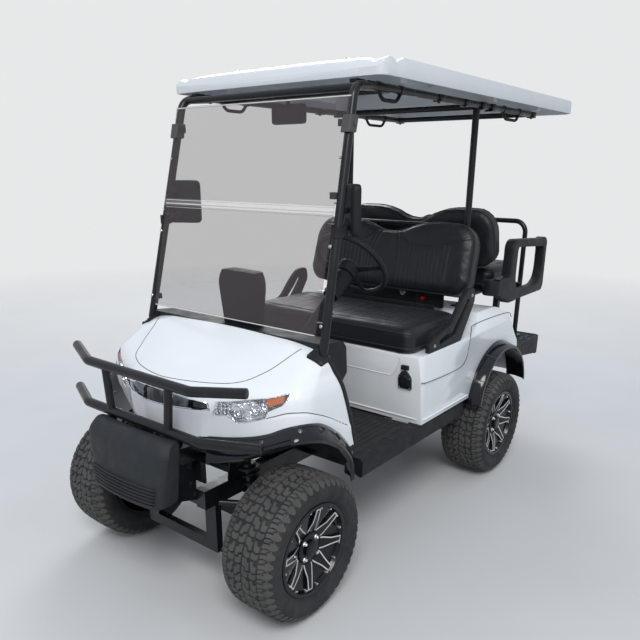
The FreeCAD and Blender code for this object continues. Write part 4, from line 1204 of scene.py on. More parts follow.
def back_place(foot, lean, turned):
    turn = Matrix.Rotation(math.radians(-lean), 4, "X")
    if turned:
        turn = turn @ Matrix.Rotation(math.pi, 4, "Z")
    return Matrix.Translation(at(*foot)) @ turn


def both(lines):
    return lines + [[(-x, y) for x, y in line] for line in lines]


def seats():
    pads = {
        "front_base": Cushion("front_seat_base", base_rings(520, 520, 122, 858, 806),
                              Matrix.Translation(at(0, 0, 0)), top_view,
                              NODES["front_seat_base"]["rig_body"]),
        "rear_base": Cushion("rear_seat_base", base_rings(470, 400, 115, 1035, 1740),
                             Matrix.Translation(at(0, 0, 0)), top_view),
        "front_back": Cushion("front_seat_back", back_rings(525, 396, 50, 105),
                              back_place((0, 1318, 1042), 15, False),
                              front_view),
        "rear_back": Cushion("rear_seat_back", back_rings(505, 330, 55, 105),
                             back_place((0, 1790, 1158), -9, True),
                             front_view),
    }
    for pad in pads.values():
        pad.start_swelling()
    for frame_number in range(1, SWELL_FRAMES + 1):
        bpy.context.scene.frame_set(frame_number)
    for pad in pads.values():
        pad.end_swelling()
    bpy.context.scene.frame_set(1)
    for name, half, near, far, top in (("front_base", 520, 806, 1326, 976),
                                       ("rear_base", 470, 1740, 2140, 1146)):
        seam = pad_outline(half, far - near, near, 58)
        depth = far - near
        cross = [[(-half + 80, near + depth * 0.72), (half - 80, near + depth * 0.72)]]
        split = both([smooth_line([(26, near + 60), (44, near + depth * 0.4), (44, far - 60)])])
        panels = []
        x_in, x_out = 74, half - 96
        for hand in (1, -1):
            panels.append([(hand * x_in, near + 84), (hand * x_out, near + 84),
                           (hand * x_out, near + depth * 0.7), (hand * x_in, near + depth * 0.7)])
        edge = [(p[0], p[1], top - 16) for p in pad_outline(half, depth, near, 8)]
        low_edge = [(p[0], p[1], top - 92) for p in pad_outline(half, depth, near, 0)]
        pads[name].finish([(seam + seam[:1], 3.5, 5)] + [(line, 3.0, 5) for line in cross + split],
                          half * 0.5, panels, [(edge, True), (low_edge, True)])
    for name, half, height, dip in (("front_back", 525, 396, 50), ("rear_back", 505, 330, 55)):
        scale = height / 396
        yoke = smooth_line([(74, 356), (96, 300), (150, 262), (236, 248), (330, 262), (412, 292),
                            (506, 330)])
        side = smooth_line([(352, 262), (430, 292), (508, 318)])
        inner = smooth_line([(30, 352), (58, 300), (80, 220), (86, 120), (84, 22)])
        outer = smooth_line([(52, 350), (82, 296), (104, 220), (110, 120), (108, 22)])
        lines = [[(x, z * scale) for x, z in line] for line in (yoke, side, inner, outer)]
        panel = [(x, z * scale) for x, z in ((124, 20), (400, 20), (400, 280))]
        panel += [(x, z * scale - 8) for x, z in reversed(yoke[8:-8])]
        panels = [panel, [(-x, z) for x, z in panel]]
        edge = [(x, 22, z) for x, z in back_outline(half, height, dip, 2)]
        rear_edge = [(x, 84, z) for x, z in back_outline(half, height, dip, 2)]
        pads[name].finish([(line, 3.2, 5) for line in both(lines)], 6, panels,
                          [(edge, True), (rear_edge, True)])


seats()

# Rear body

REAR_PROFILE = (  # back, up
    (866, 516), (828, 858), (1392, 858), (1440, 960), (1650, 960), (1700, 950), (1748, 930), (1795, 908),
    (1831, 880), (1880, 825), (1928, 765), (1985, 707), (2014, 516),
)
RECESS_LINE = (  # the crease along the side, over the recessed lower wall
    (780, 742), (900, 724), (1100, 716), (1242, 720), (1292, 748), (1317, 813), (1348, 884), (1400, 910),
    (1800, 904), (1900, 840), (2060, 760),
)
ARCH_BACK, ARCH_UP, ARCH_RADIUS = 1688, 434, 331
BODY_HALF = 560


def cheek(z):
    """How far out the body's side is at a height."""
    if z <= 780:
        return BODY_HALF
    share = (z - 780) / 186
    return BODY_HALF - 34 * share ** 2.2


def body_shell(inset, low=480.0):
    """The rear body as a closed form: rounded plan corners and upright sides, not yet cut to the profile."""
    front, top, rear = 828 + inset, 961 - inset, 2014 - inset
    rings = []
    for z in even_steps(low, top, 25):
        half = cheek(z) - inset
        rings.append([at(x, y, z) for x, y in
                      box_loop(-half, front - 5, half, rear + 5, [46, 46, 60, 60], 8)])
    return Form().skin(rings)


def profile_prism(inset, half=700):
    low = [(y + (inset if y < 900 else -inset if y > 1900 else 0), z) for y, z in REAR_PROFILE]
    run = []
    for (y, z), (bend_y, bend_z) in zip(REAR_PROFILE, low):
        run.append((bend_y, bend_z - (inset if z > 600 else 40 if inset else 0)))
    return prism(rounded_loop(run, [2, 16, 2, 24, 30, 30, 30, 30, 30, 30, 40, 26, 2], 5), on_side, -half,
                 half)


def rear_body():
    """Outer and inner forms with the profile cut out of both, then the arch, recess and hatch."""
    outer = body_shell(0).make("rear_shell", "body_white", replaces=("rear_body",))
    boolean(outer, profile_prism(0), "INTERSECT")
    for hand in (1, -1):
        recess = rounded_loop([(760, 470), (760, 743), *RECESS_LINE[1:], (2100, 750), (2100, 470)],
                              [1, 1, 60, 60, 40, 30, 30, 30, 60, 40, 30, 1, 1, 1], 4)
        boolean(outer, prism(recess, on_side, hand * (BODY_HALF - 5), hand * (BODY_HALF + 40)))
    inner = body_shell(7).make("rear_core", "body_white")
    boolean(inner, profile_prism(7), "INTERSECT")
    modify(outer, "BOOLEAN", object=inner, operation="DIFFERENCE", solver="EXACT")
    bpy.data.objects.remove(inner)
    wheel = [(ARCH_BACK + ARCH_RADIUS * math.cos(a), ARCH_UP + ARCH_RADIUS * math.sin(a))
             for a in around(96)]
    boolean(outer, prism(wheel, on_side, -700, 700))
    boolean(outer, prism([(900, 800), (1330, 800), (1330, 900), (900, 900)], on_side, -440, 440))
    round_edges(outer, 3, 2, 40)
    finish_piece(outer, "body_white", sharp=45)


rear_body()

# Rear flares

REAR_FLARE = ((500, 330.7), (557, 330.7), (600, 318), (616, 312), (622, 307), (622, 294), (617, 293),
              (615, 305),
              (600, 311), (556, 325.7), (500, 325.7))
FLARE_FROM, FLARE_TO = math.radians(8.8), math.radians(171.2)


def on_arch(x, radius, angle):
    return at(x, ARCH_BACK + radius * math.cos(angle), ARCH_UP + radius * math.sin(angle))


def rear_flares():
    band = REAR_FLARE[1:5]
    for hand, side in SIDES:
        form = Form().skin([[on_arch(x * hand, r, angle) for x, r in REAR_FLARE]
                            for angle in even_steps(FLARE_FROM, FLARE_TO, 72)])
        seams = Form()
        for degrees in (31, 60, 120, 149):
            angle = math.radians(degrees)
            for target, lift, turns in ((form, 2.2, (-0.020, -0.017, 0.017, 0.020)),
                                        (seams, 0.9, (-0.033, -0.031, -0.021, -0.019))):
                target.skin([[on_arch(x * hand, r + lift, angle + turn) for x, r in band] +
                             [on_arch(x * hand, r - 1.5, angle + turn) for x, r in reversed(band)]
                             for turn in turns])
        form.make("rear_flare_" + side, "flare_gloss", replaces=once(hand, "rear_flares"))
        seams.make("rear_flare_seams_" + side, "seam")


rear_flares()

# Roof: one moulded sheet with a raised middle, ridges along its sides and ribs under it

ROOF_HALF, ROOF_LOW = 561, 1976
ROOF_FRONT, ROOF_REAR = 425, 2480
ROOF_ACROSS = ((0, 2080), (150, 2078), (190, 2074), (225, 2066), (330, 2060), (440, 2052), (468, 2044),
               (500, 2026), (516, 2028), (534, 2044), (545, 2048), (553, 2044), (559, 2030), (561, 2014))
ROOF_ALONG = ((425, 1990), (430, 2006), (441, 2022), (458, 2036), (480, 2046), (505, 2051), (535, 2056),
              (640, 2070), (760, 2080),
              (885, 2100), (2200, 2100), (2340, 2076), (2420, 2058), (2456, 2046), (2474, 2032),
              (2480, 2014))
CROSS_BARS = (700, 1556, 2140)


def roof_top(x, y):
    across = level(ROOF_ACROSS, abs(x))
    along = level(ROOF_ALONG, y) - 6 * (abs(x) / ROOF_HALF) ** 4
    across -= 20 * smooth_step((abs(x) - 470) / 30) * math.exp(-((y - 535) / 26) ** 2)
    gap = max(0.0, 16 - abs(across - along)) / 16
    return min(across, along) - gap * gap * 4


def roof_edges(x):
    """First and last point of the roof along a line at a distance from its middle."""
    near = ROOF_FRONT + 8 * (x / ROOF_HALF) ** 2
    corner = max(0.0, abs(x) - (ROOF_HALF - 34))
    near += 34 - math.sqrt(34 ** 2 - corner ** 2)
    corner = max(0.0, abs(x) - (ROOF_HALF - 70))
    return near, ROOF_REAR - (70 - math.sqrt(70 ** 2 - corner ** 2))


def roof_layer(inset, drop):
    grid = []
    for row in range(161):
        line = []
        for column in range(97):
            share = 2 * column / 96 - 1
            share = math.copysign(abs(share) ** 0.85, share)
            x = share * ROOF_HALF
            near, far = roof_edges(x)
            part = 45 * (row / 16) ** 1.6 if row < 16 else None
            part = 45 + (far - near - 105) * (row - 16) / 132 if part is None else part
            part = far - near - 60 * ((160 - row) / 12) ** 1.6 if row > 148 else part
            y = near + part
            px = x * (1 - inset / ROOF_HALF)
            middle = (ROOF_FRONT + ROOF_REAR) / 2
            py = middle + (y - middle) * (1 - inset / (ROOF_REAR - middle))
            line.append(Vector((px, py, roof_top(x, y) - drop)))
        grid.append(line)
    return grid


def roof():
    outer, inner = roof_layer(0, 0), roof_layer(7, 7)
    form, ribs, nuts = Form(), Form(), Form()
    rim = sheet(form, outer, inner)

    def rim_run(grid, z, inset):
        return [at(grid[r][c].x * (1 - inset / ROOF_HALF), grid[r][c].y, z if z else grid[r][c].z)
                for r, c in rim]

    form.skin([rim_run(outer, None, 0), rim_run(outer, ROOF_LOW + 8, -1.2), rim_run(outer, ROOF_LOW + 1, 0),
               rim_run(inner, ROOF_LOW + 1, 0), rim_run(inner, None, 0)], caps=False)
    # The roof sheet and its ribs take the darker white, painted shade against the key lamp.
    form.make("roof_sheet", "roof_white", replaces=("roof",), sharp=32)
    for y in CROSS_BARS:
        rings = []
        for x in (-478, -400, -300, -200, -100, 0, 100, 200, 300, 400, 478):
            low, top = ROOF_LOW + 1, roof_top(x, y) - 5
            rings.append([at(x, y + a, z) for a, z in ((-20, low), (20, low), (22, top), (-22, top))])
        ribs.skin(rings)
    for x in (-300, -110, 110, 300):
        for start, end in ((560, 676), (724, 1532), (1580, 2116), (2164, 2400)):
            rings = []
            for y in even_steps(start, end, 8):
                top = roof_top(x, y) - 5
                low = top - 16
                rings.append([at(x + a, y, z) for a, z in ((-9, low), (9, low), (14, top), (-14, top))])
            ribs.skin(rings)
    ribs.make("roof_ribs", "roof_white", sharp=30)
    for x in (-300, 300):
        for y in (580, 1556, 2250):
            bolt(nuts, at(x, y, roof_top(x, y) - 0.5), UP, 8, 11)
    nuts.make("roof_nuts", "bare_steel")


roof()

# Moulded loops beside the seats


def moulded_loop(name, outline, hole, x_low, x_high, edge, node):
    """A slab with a hole and well-rounded edges, and its mirror on the other side."""
    for hand, side in SIDES:
        thing = prism(outline, on_side, hand * x_low, hand * x_high).make(
            name + "_" + side, "cast_black", replaces=once(hand, node))
        boolean(thing, prism(hole, on_side, hand * (x_low - 9), hand * (x_high + 9)))
        round_edges(thing, edge, 4, 50)
        finish_piece(thing, "cast_black", sharp=60)


def cup_holder(hand, side):
    profile = ((44, 1033), (46.8, 1036), (46.8, 1104), (45.5, 1109), (42, 1110), (40.4, 1107), (39.6, 1044),
               (36, 1041))
    form = lathe(Form(), at(530 * hand, 1600, 0), UP, (RIGHT, BACK), profile, 40)
    form.make("cup_holder_" + side, "cast_black", sharp=50)


def armrests():
    ring = arcs([
        (1640, 1028), (1795, 961), (1880, 961), (1900, 966), (2290, 968), (2312, 1000), (2306, 1230),
        (2290, 1282, 2240, 1284), (1850, 1306), (1800, 1290, 1788, 1240), (1782, 1108), (1640, 1108),
    ])
    hole = [(1862, 1096), (1884, 1036), (1960, 1016), (2180, 1016), (2246, 1050), (2262, 1110), (2258, 1236),
            (1866, 1262)]
    moulded_loop("rear_armrest", rounded_loop(ring, 10, 3), rounded_loop(hole, 26, 5), 500.5, 555.5, 9,
                 "rear_armrests")
    for hand, side in SIDES:
        cup_holder(hand, side)
        form = Form()
        for low, high, z in ((1868, 2214, 1299), (1890, 2130, 990)):
            run = [at(528 * hand, y, z - 0.066 * (y - 1850) * (z > 1200)) for y in even_steps(low, high, 10)]
            tube(form, run, [0.6] + [4] * 9 + [0.6], 8)
        form.make("armrest_beads_" + side, "cast_black")


def hip_loops():
    ring = [(905, 859), (899, 896), (930, 920), (1111, 964), (1202, 1062), (1262, 1108), (1338, 1110),
            (1352, 1046),
            (1282, 946), (1222, 860)]
    hole = [(1000, 882), (1164, 906), (1264, 1022), (1288, 1052), (1264, 1062), (1218, 1010), (1146, 944),
            (1000, 902)]
    moulded_loop("hip_loop", rounded_loop(ring, [8, 14, 20, 30, 40, 26, 26, 26, 30, 12], 4),
                 rounded_loop(hole, 9, 3),
                 532.5, 556.5, 8, "hip_restraints")
    heads = Form()
    for hand in (1, -1):
        for y, z in ((950, 888), (1310, 1074)):
            bolt(heads, at(556 * hand, y, z), RIGHT * hand, 6, 5)
    heads.make("hip_loop_bolts", "bare_steel")


armrests()
hip_loops()

# Mirrors


def side_mirrors():
    for hand, side in SIDES:
        turn = Matrix.Rotation(math.radians(-32 * hand), 3, "Z")
        centre = at(466 * hand, 375, 1517)

        def spot(a, b, c):
            return centre + turn @ Vector((a, b, c)) / 1000

        head = Form().skin([
            [spot(a, y, c) for a, c in box_loop(inset - 75, inset - 95, 75 - inset, 95 - inset,
                                                [30, 24, 24, 34], 6)]
            for y, inset in ((-16.8, 26), (-14, 12), (-8, 4), (2, 1), (12, 0.5), (16.8, 1.5), (16.8, 7),
                             (13.5, 8))])
        head.make("side_mirror_" + side, "black_plastic", replaces=once(hand, "side_mirrors"), sharp=50)
        outline = box_loop(-65, -85, 65, 85, [24, 18, 18, 28], 6)
        glass = Form().skin([[spot(a, y, c) for a, c in outline] for y in (13.4, 14.6)])
        glass.make("side_mirror_glass_" + side, "mirror_glass")
        stem = Form()
        start = at(post_across(1517) * hand, post_back(1517) + 19.5, 1517)
        tube(stem, [start, at(473 * hand, 345, 1517), at(472 * hand, 362, 1517)], [12, 9, 13], 14)
        low = [at(post_across(1440) * hand, post_back(1440), z) for z in (1425, 1462)]
        tube(stem, low, 24, 20)
        arm = [low[0].lerp(low[1], 0.5)]
        arm += [at(x * hand, y, z) for x, y, z in ((476, 322, 1446), (472, 350, 1462), (468, 366, 1480))]
        tube(stem, arm, [12, 12, 14, 16], 14)
        tube(stem, [at(476 * hand, 322, 1428), at(476 * hand, 322, 1464)], 19, 18)
        stem.make("side_mirror_stem_" + side, "black_plastic")


def post_across(z):
    return 505 - 43 * (z - 1002) / 942


def post_back(z):
    return 172 + 226 * (z - 1002) / 942


def cabin_mirror():
    head = Form().skin([
        [at(10 + a, y, 1878 + c) for a, c in box_loop(inset - 92, inset - 40, 92 - inset, 40 - inset, 16, 5)]
        for y, inset in ((547, 16), (549, 8), (554, 2), (562, 0.5), (569, 1.5), (569.5, 6), (568, 7))])
    head.make("cabin_mirror_head", "black_plastic", replaces=("cabin_mirror",), sharp=50)
    outline = [(10 + (a - 10) * 0.97, c) for a, c in box_loop(-82, -30, 102, 30, 12, 5)]
    glass = Form().skin([[at(a, y, 1878 + c) for a, c in outline] for y in (568.2, 569.2)])
    glass.make("cabin_mirror_glass", "mirror_glass")
    arm = tube(Form(), rounded([at(10, 427, 1941), at(10, 557, 1941), at(10, 557, 1900)], 0.02), 8, 14)
    tube(arm, [at(10, 556.5, 1916), at(10, 556.5, 1900)], [13, 10], 16)
    arm.make("cabin_mirror_arm", "black_plastic")


side_mirrors()
cabin_mirror()

# Steering wheel

COLUMN_LEAN = math.radians(52)
HUB = at(275, 664, 1268)
HUB_UP = Vector((0, -math.cos(COLUMN_LEAN), math.sin(COLUMN_LEAN)))
HUB_OUT = Vector((0, math.sin(COLUMN_LEAN), math.cos(COLUMN_LEAN)))


def steering_wheel():
    form = Form()
    sizes = [12.4 + 0.6 * math.cos(angle * 24) for angle in around(96)]
    tube(form, circle(HUB, (RIGHT, HUB_UP), 165, 96), sizes, 14, loop=True)
    lathe(form, HUB, HUB_OUT, (RIGHT, HUB_UP),
          ((30, -62), (40, -58), (44, -40), (50, -26), (48, -14), (40, -7), (24, -3), (4, -2)), 36)
    for degrees in (0, 180, 270):
        way = RIGHT * math.cos(math.radians(degrees)) + HUB_UP * math.sin(math.radians(degrees))
        side = way.cross(HUB_OUT)
        rings = []
        for reach, half, lift in ((34, 22, -24), (70, 15, -18), (110, 12, -8), (154, 13, -1), (163, 14, 0)):
            centre = HUB + (way * reach + HUB_OUT * lift) / 1000
            rings.append([centre + (side * half * math.cos(a) + HUB_OUT * 5.5 * math.sin(a)) / 1000
                          for a in around(16)])
        form.skin(rings)
    form.make("steering_wheel_rim", "black_plastic", body=NODES["steering_wheel"]["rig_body"],
              replaces=("steering_wheel",), sharp=50)


steering_wheel()

# Trim on the cowl's rear edge, feet of the posts, and a painted shade line along the crease over the wheel


def cowl_point(along, z):
    """A place on the left of the cowl, from its distance along the outline and its height."""
    row = COWL_ROWS[-1][1]
    for (low, near), (high, far) in zip(COWL_ROWS, COWL_ROWS[1:]):
        if z <= high:
            share = max(0.0, (z - low) / (high - low))
            row = [(a + (c - a) * share, b + (d - b) * share) for (a, b), (c, d) in zip(near, far)]
            break
    for (a, b), (c, d) in zip(row, row[1:]):
        first, last = a + b - 560, c + d - 560
        if last >= along:
            share = (along - first) / (last - first)
            return a + (c - a) * share, b + (d - b) * share
    return row[-1]


def cowl_trim():
    form, heads, seam, foot = Form(), Form(), Form(), Form()
    rings = []
    for z in even_steps(606, 998, 30):
        x, y = cowl_point(2000, z)[0], cowl_rear(z)
        rings.append([at(x - 10, y - 3, z), at(x + 1, y - 15, z), at(x + 4, y - 12, z), at(x + 5, y, z),
                      at(x + 1, y + 9, z), at(x - 10, y + 8, z)])
    form.skin(rings).mirror()
    form.make("cowl_trim", "cast_black", sharp=50)
    for z in (640, 760, 880, 968):
        x, y = cowl_point(2000, z)[0] + 4.4, cowl_rear(z) - 4
        for hand in (1, -1):
            bolt(heads, at(x * hand, y, z), RIGHT * hand, 4.5, 3)
    # A dark thin tube along the crease: painted shade of the crease's step, mirrored to both sides.
    path = []
    for along, z in smooth_line(CREASE, 6):
        x, y = cowl_point(along, z)
        path.append(at(x + 0.3, y - 0.3, z))
    tube(seam, path, 1.7, 6)
    seam.mirror().make("arch_crease_shade", "seam")
    out = Vector((0.46, -0.28, 0.84)).normalized()
    over = Vector((0, 0.95, 0.3))
    over = (over - out * over.dot(out)).normalized()
    right = over.cross(out)
    centre = at(497, 158, 1001) + out * 0.004
    outline = box_loop(-36, -34, 36, 34, 8)
    foot.skin([[centre + (right * a * size + over * b * size) / 1000 + out * lift for a, b in outline]
               for size, lift in ((1, -0.012), (1, 0.0005), (0.96, 0.0025))])
    tube(foot, circle(centre, (right, over), 24, 24), 3.5, 8, loop=True)
    foot.mirror().make("post_feet", "cast_black")
    for a, b in ((-27, -25), (27, -25), (27, 25), (-27, 25)):
        spot = centre + (right * a + over * b) / 1000 + out * 0.002
        for hand in (1, -1):
            bolt(heads, Vector((spot.x * hand, spot.y, spot.z)), Vector((out.x * hand, out.y, out.z)), 5, 4)
    heads.make("trim_bolts", "cast_parts")


cowl_trim()

# Windscreen: bright rims, screws and clamps

SCREEN_TURN = math.atan(226 / 942)


def screen_spot(x, z, off):
    """A place ahead of the posts' plane, in the windscreen's own slope."""
    return at(x, post_back(z) - off * math.cos(SCREEN_TURN), z + off * math.sin(SCREEN_TURN))


def screen_details():
    rims, heads, clamps, foot = Form(), Form(), Form(), Form()
    for z, radius in ((1908, 2.6), (1500, 1.4), (1515, 2.8), (1530, 1.4)):
        tube(rims, [screen_spot(x, z - 5, 20) for x in (-469.5, -200, 200, 469.5)], radius, 8)
    bottom = []
    for x in even_steps(-465, 465, 40):
        z = 1070
        while z > 1000 and cowl_back(x, z) < post_back(z + 4) - 21:
            z -= 1
        bottom.append((x, z))
    for off in (17.5, 22):
        foot.add([screen_spot(x, z, off) for x, z in bottom]
                 + [screen_spot(x, 1067.2, off) for x, z in bottom],
                 [(i, i + 1, i + 42, i + 41) for i in range(40)])
    tube(rims, [screen_spot(x, z, 20) for x, z in bottom], 2.2, 8)
    foot.make("screen_foot", "tinted_sheet")
    rims.make("screen_rims", "sheet_edge")
    ahead = Vector((0, -math.cos(SCREEN_TURN), math.sin(SCREEN_TURN)))
    for z, size in ((1112, 7), (1395, 7), (1485, 4), (1545, 4), (1700, 5)):
        for hand in (1, -1):
            spot = screen_spot((post_across(z) - 8) * hand, z - 5, 22.4)
            tube(heads, [spot, spot + ahead * 0.003, spot + ahead * 0.006], [size, size, size * 0.6], 16)
    heads.make("screen_screws", "bare_steel")
    for hand in (1, -1):
        x, y = post_across(1816), post_back(1816)
        outline = box_loop(x - 20, y - 27, x + 20, y + 22, 6, 3)
        lean = Vector((0, 0.24, 1)) * 0.030
        rings = []
        for share, inset in ((-1, 3), (-0.93, 0), (0.93, 0), (1, 3)):
            rings.append([at((a + (x - a) * inset / 24) * hand, b + (y - b) * inset / 24, 1816)
                          + lean * share
                          for a, b in outline])
        clamps.skin(rings)
        bolt(clamps, at((x + 20) * hand, y, 1816), RIGHT * hand, 7, 6)
    clamps.make("post_clamps", "clamp_grey", sharp=45)


screen_details()

# Handles under the roof, clamps of its frame, guard bolts


def roof_fittings():
    handles, clamps, heads = Form(), Form(), Form()
    for hand in (1, -1):
        x = 430 * hand
        for start, end in ((1775, 1975), (600, 760)):
            run = rounded([at(x, start, 1948), at(x, start + 28, 1916), at(x, end - 28, 1916),
                           at(x, end, 1948)], 0.02)
            tube(handles, run, 7.5, 12)
            for y in (start, end):
                tube(clamps, [at(x, y - 13, 1960.7), at(x, y + 13, 1960.7)], 18, 20)
        for y in (460, 530, 1080, 1330, 2160):
            outline = [(y - 18, 1942), (y + 18, 1942), (y + 24, 1972), (y - 24, 1972)]
            plate(clamps, outline, on_side, x - 20, x + 20, 3, 2)
            bolt(heads, at(x, y, 1943), -UP, 6, 6)
        for y in (1500, 1612):
            plate(clamps, [(y - 20, 1938), (y + 20, 1938), (y + 20, 1974), (y - 20, 1974)], on_side,
                  x - 22, x + 22, 4, 2)
    handles.make("roof_handles", "black_plastic")
    clamps.make("roof_clamps", "black_steel")
    heads.make("roof_bolts", "cast_parts")
    guard = Form()
    for hand in (1, -1):
        for y, z in ((-200, 470), (-216, 520), (-322, 560), (-322, 640)):
            bolt(guard, at(170.3 * hand, y, z), RIGHT * hand, 8, 6)
        for x, y, z, out in ((493, -225, 959, (0.93, 0.36, 0.07)), (538, -209, 763, (0.91, 0.4, 0))):
            way = Vector((out[0] * hand, out[1], out[2])).normalized()
            spot = at(x * hand, y, z)
            tube(guard, [spot - way * 0.002, spot + way * 0.003, spot + way * 0.0045], [18, 18, 13], 24)
    guard.make("guard_fittings", "black_steel")


roof_fittings()

# Front suspension: coil springs and bolts


def front_suspension():
    coils, bright, dark = Form(), Form(), Form()
    for hand in (1, -1):
        low, high = at(318 * hand, 0, 199), at(262 * hand, 0, 590)
        way = high - low
        side = way.cross(Vector((0, 1, 0))).normalized()
        cross = way.cross(side).normalized()
        turns, count = 7, 168
        run = []
        for k in range(count + 1):
            angle = 2 * math.pi * turns * k / count
            share = 0.30 + 0.56 * k / count
            run.append(low + way * share + (side * math.cos(angle) + cross * math.sin(angle)) * 0.036)
        tube(coils, run, 4.6, 8)
        for share in (0.29, 0.87):
            spot = low + way * share
            tube(dark, [spot - way.normalized() * 0.004, spot + way.normalized() * 0.004], 42, 28)
        for share in (0.0, 1.0):
            spot = low + way * share
            tube(bright, [spot - Vector((0, 0.03, 0)), spot + Vector((0, 0.03, 0))], 9, 10)
    coils.make("coil_springs", "black_steel")
    for x in (-150, -60, 60, 150):
        for z in (455, 520):
            bolt(bright, at(x, -188.5, z), -BACK, 8, 7)
    bright.make("suspension_bolts", "bare_steel")
    dark.make("spring_seats", "cast_parts")


front_suspension()

# Dashboard


def dash_details():
    hood, dark, glass, bright = Form(), Form(), Form(), Form()
    edge = rounded_loop([(-86, 1028), (82, 1028), (103, 1208), (88, 1261), (-92, 1265), (-115, 1214)],
                        [10, 10, 24, 22, 22, 24], 4)
    middle = (-6, 1140)
    hood.skin([[at(x, y, z) for x, z in scaled(edge, middle, size)] for y, size in
               ((233, 0.93), (235, 0.985), (240, 1.0), (298, 1.0), (303, 0.985), (304, 0.90), (296, 0.88))])
    hood.make("display_hood", "black_plastic", sharp=50)
    screen = scaled(edge, middle, 0.84)
    glass.skin([[at(x, 297, z) for x, z in screen], [at(x, 299, z) for x, z in screen]])
    glass.make("display_glass", "black_rim")
    for x in (-60, -20, 20, 60):
        plate(dark, box_loop(x - 14, 1006, x + 14, 1022, 3, 2), on_front, 300, 324)
    lid = box_loop(-452, 886, -188, 994, 12)
    hole = box_loop(-444, 894, -196, 986, 8)
    dark.skin([[at(x, y, z) for x, z in edge]
               for y, edge in ((322, lid), (338, lid), (338, hole), (262, hole))],
              caps=False)
    for x in (170, 400):
        lathe(dark, at(x, 0, 940), BACK, (RIGHT, UP), ((40, 326), (40, 339), (37, 341), (33, 337)), 32)
        for row in range(-3, 4):
            half = math.sqrt(31 ** 2 - (row * 8.5) ** 2)
            tube(dark, [at(x - half, 338.5, 940 + row * 8.5), at(x + half, 338.5, 940 + row * 8.5)], 1.8, 6)
    tube(bright, [at(150, 329, 1010), at(150, 337, 1010)], 12, 20)
    tube(bright, [at(150, 337, 1010), at(150, 352, 1010)], [4, 3], 8)
    dark.make("dash_fittings", "cast_black", sharp=45)
    bright.make("key_switch", "bare_steel")
    boot = Form()
    run = [HUB - HUB_OUT * (0.066 + 0.0155 * k) for k in range(9)]
    tube(boot, run, [38, 41, 36, 40, 35, 39, 34, 37, 30], 24)
    stalk = HUB - HUB_OUT * 0.095
    tube(boot, [stalk, stalk + Vector((-0.10, 0.01, 0.02)), stalk + Vector((-0.13, 0.012, 0.026))],
         [7, 6, 8], 12)
    boot.make("column_shroud", "black_plastic")


dash_details()

# Floor, sills and footrest


def floor_details():
    ribs, edge, tread, heads = Form(), Form(), Form(), Form()
    for row in range(-15, 16):
        x = row * 30
        tube(ribs, [at(x, 400, 508.6), at(x, 858, 508.6)], 2.6, 6)
    for row in range(-8, 9):
        tube(ribs, [at(row * 56, 384, 522), at(row * 56, 306, 684)], 2.4, 6)
    ribs.make("mat_ribs", "floor_rubber")
    for hand in (1, -1):
        tube(edge, [at(496 * hand, 396, 512), at(496 * hand, 860, 512)], 5, 10)
        for y in (470, 640, 810, 980, 1150):
            bolt(heads, at(530 * hand, y, 516), UP, 7, 3, 16)
    edge.make("mat_edges", "cast_black")
    heads.make("sill_screws", "cast_parts")
    for row in range(9):
        y = 2084 + row * 48
        for column in range(19):
            x = (column - 9) * 52 + (row % 2) * 12 - 6
            if abs(x) > 480:
                continue
            plate(tread, [(x - 16, y - 5), (x + 16, y - 5), (x + 16, y + 5), (x - 16, y + 5)], on_plan,
                  631, 635, 1, 1)
    tube(tread, rounded([at(-498, 2066, 633), at(-498, 2500, 633), at(498, 2500, 633), at(498, 2066, 633)],
                        0.02),
         4, 8)
    tread.make("footrest_tread", "cast_black")


floor_details()

# Lamps, charger socket and small things on the body


def seat_box_face(z):
    """How far back the leaning front wall of the seat box is at a height."""
    return 866 - (z - 516) * 38 / 341


